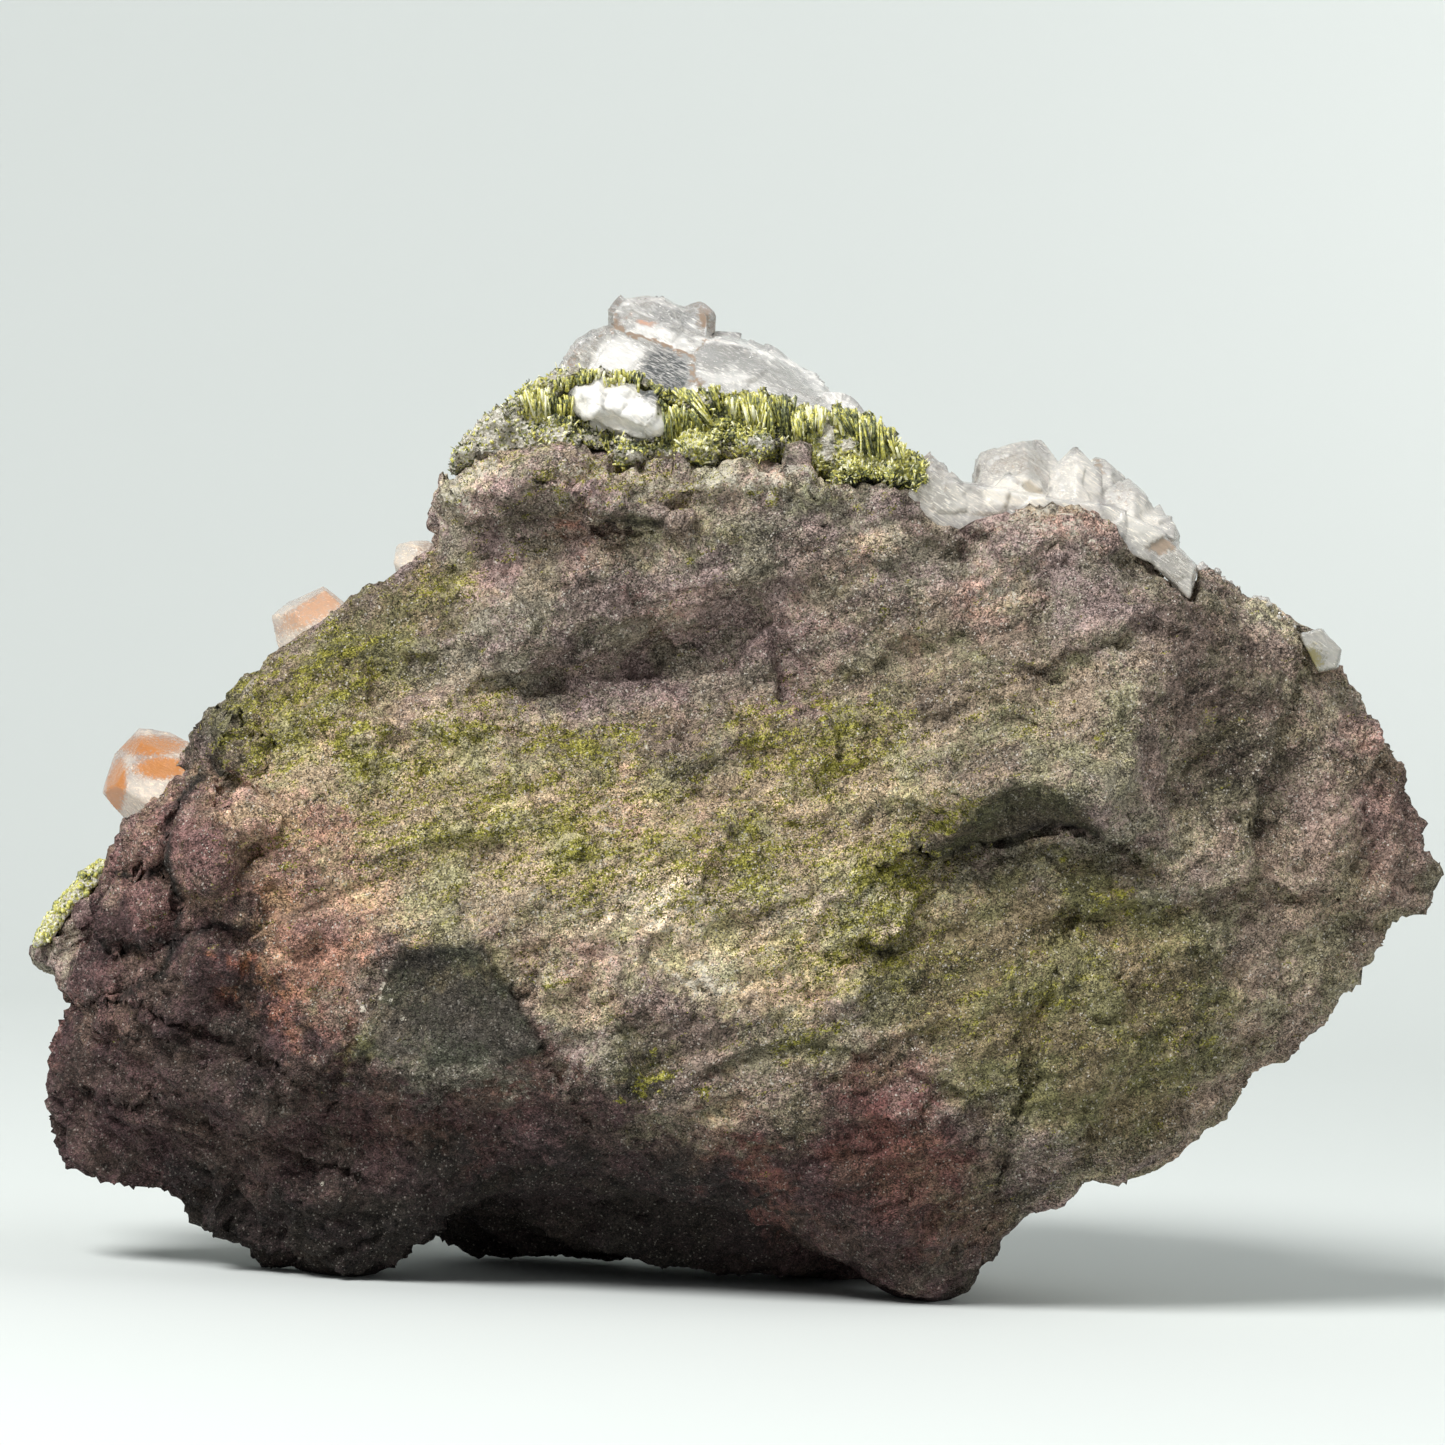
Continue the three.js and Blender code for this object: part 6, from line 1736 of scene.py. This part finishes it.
class CLUSTER_OT_smoky_points(bpy.types.Operator):
    """Grow the smoky points over the far side"""
    bl_idname = "cluster.smoky_points"
    bl_label = "Smoky points"

    def execute(self, context):
        build_smoky()
        return {"FINISHED"}


class CLUSTER_OT_stage(bpy.types.Operator):
    """Set the floor, the lights and the camera"""
    bl_idname = "cluster.stage"
    bl_label = "Stage"

    def execute(self, context):
        build_stage()
        return {"FINISHED"}


class CLUSTER_PT_panel(bpy.types.Panel):
    bl_label = "Smoky Quartz Cluster"
    bl_space_type = "VIEW_3D"
    bl_region_type = "UI"
    bl_category = "Quartz"

    def draw(self, context):
        layout = self.layout
        scene = context.scene
        for name in ("mesh_step", "most_faces", "crumbs"):
            layout.prop(scene.cluster_rock, name)
        for name in ("colour", "density", "small_points"):
            layout.prop(scene.cluster_smoky, name)
        for name in ("floor_colour", "key_power", "fill_power", "wall_power", "air_strength"):
            layout.prop(scene.cluster_stage, name)
        for operator in OPERATORS:
            layout.operator(operator.bl_idname)


OPERATORS = (
    CLUSTER_OT_rock,
    CLUSTER_OT_epidote,
    CLUSTER_OT_broken_quartz,
    CLUSTER_OT_stained_crystals,
    CLUSTER_OT_smoky_points,
    CLUSTER_OT_stage,
)
SETTINGS = {"cluster_rock": RockSettings, "cluster_smoky": SmokySettings, "cluster_stage": StageSettings}


def register():
    for kind in (*SETTINGS.values(), *OPERATORS, CLUSTER_PT_panel):
        bpy.utils.register_class(kind)
    for name, kind in SETTINGS.items():
        setattr(bpy.types.Scene, name, PointerProperty(type=kind))


def unregister():
    for name in SETTINGS:
        delattr(bpy.types.Scene, name)
    for kind in (CLUSTER_PT_panel, *OPERATORS, *reversed(tuple(SETTINGS.values()))):
        bpy.utils.unregister_class(kind)


def main():
    register()
    bpy.ops.cluster.rock()
    bpy.ops.cluster.epidote()
    bpy.ops.cluster.broken_quartz()
    bpy.ops.cluster.stained_crystals()
    bpy.ops.cluster.smoky_points()
    bpy.ops.cluster.stage()


if __name__ == "__main__":
    main()
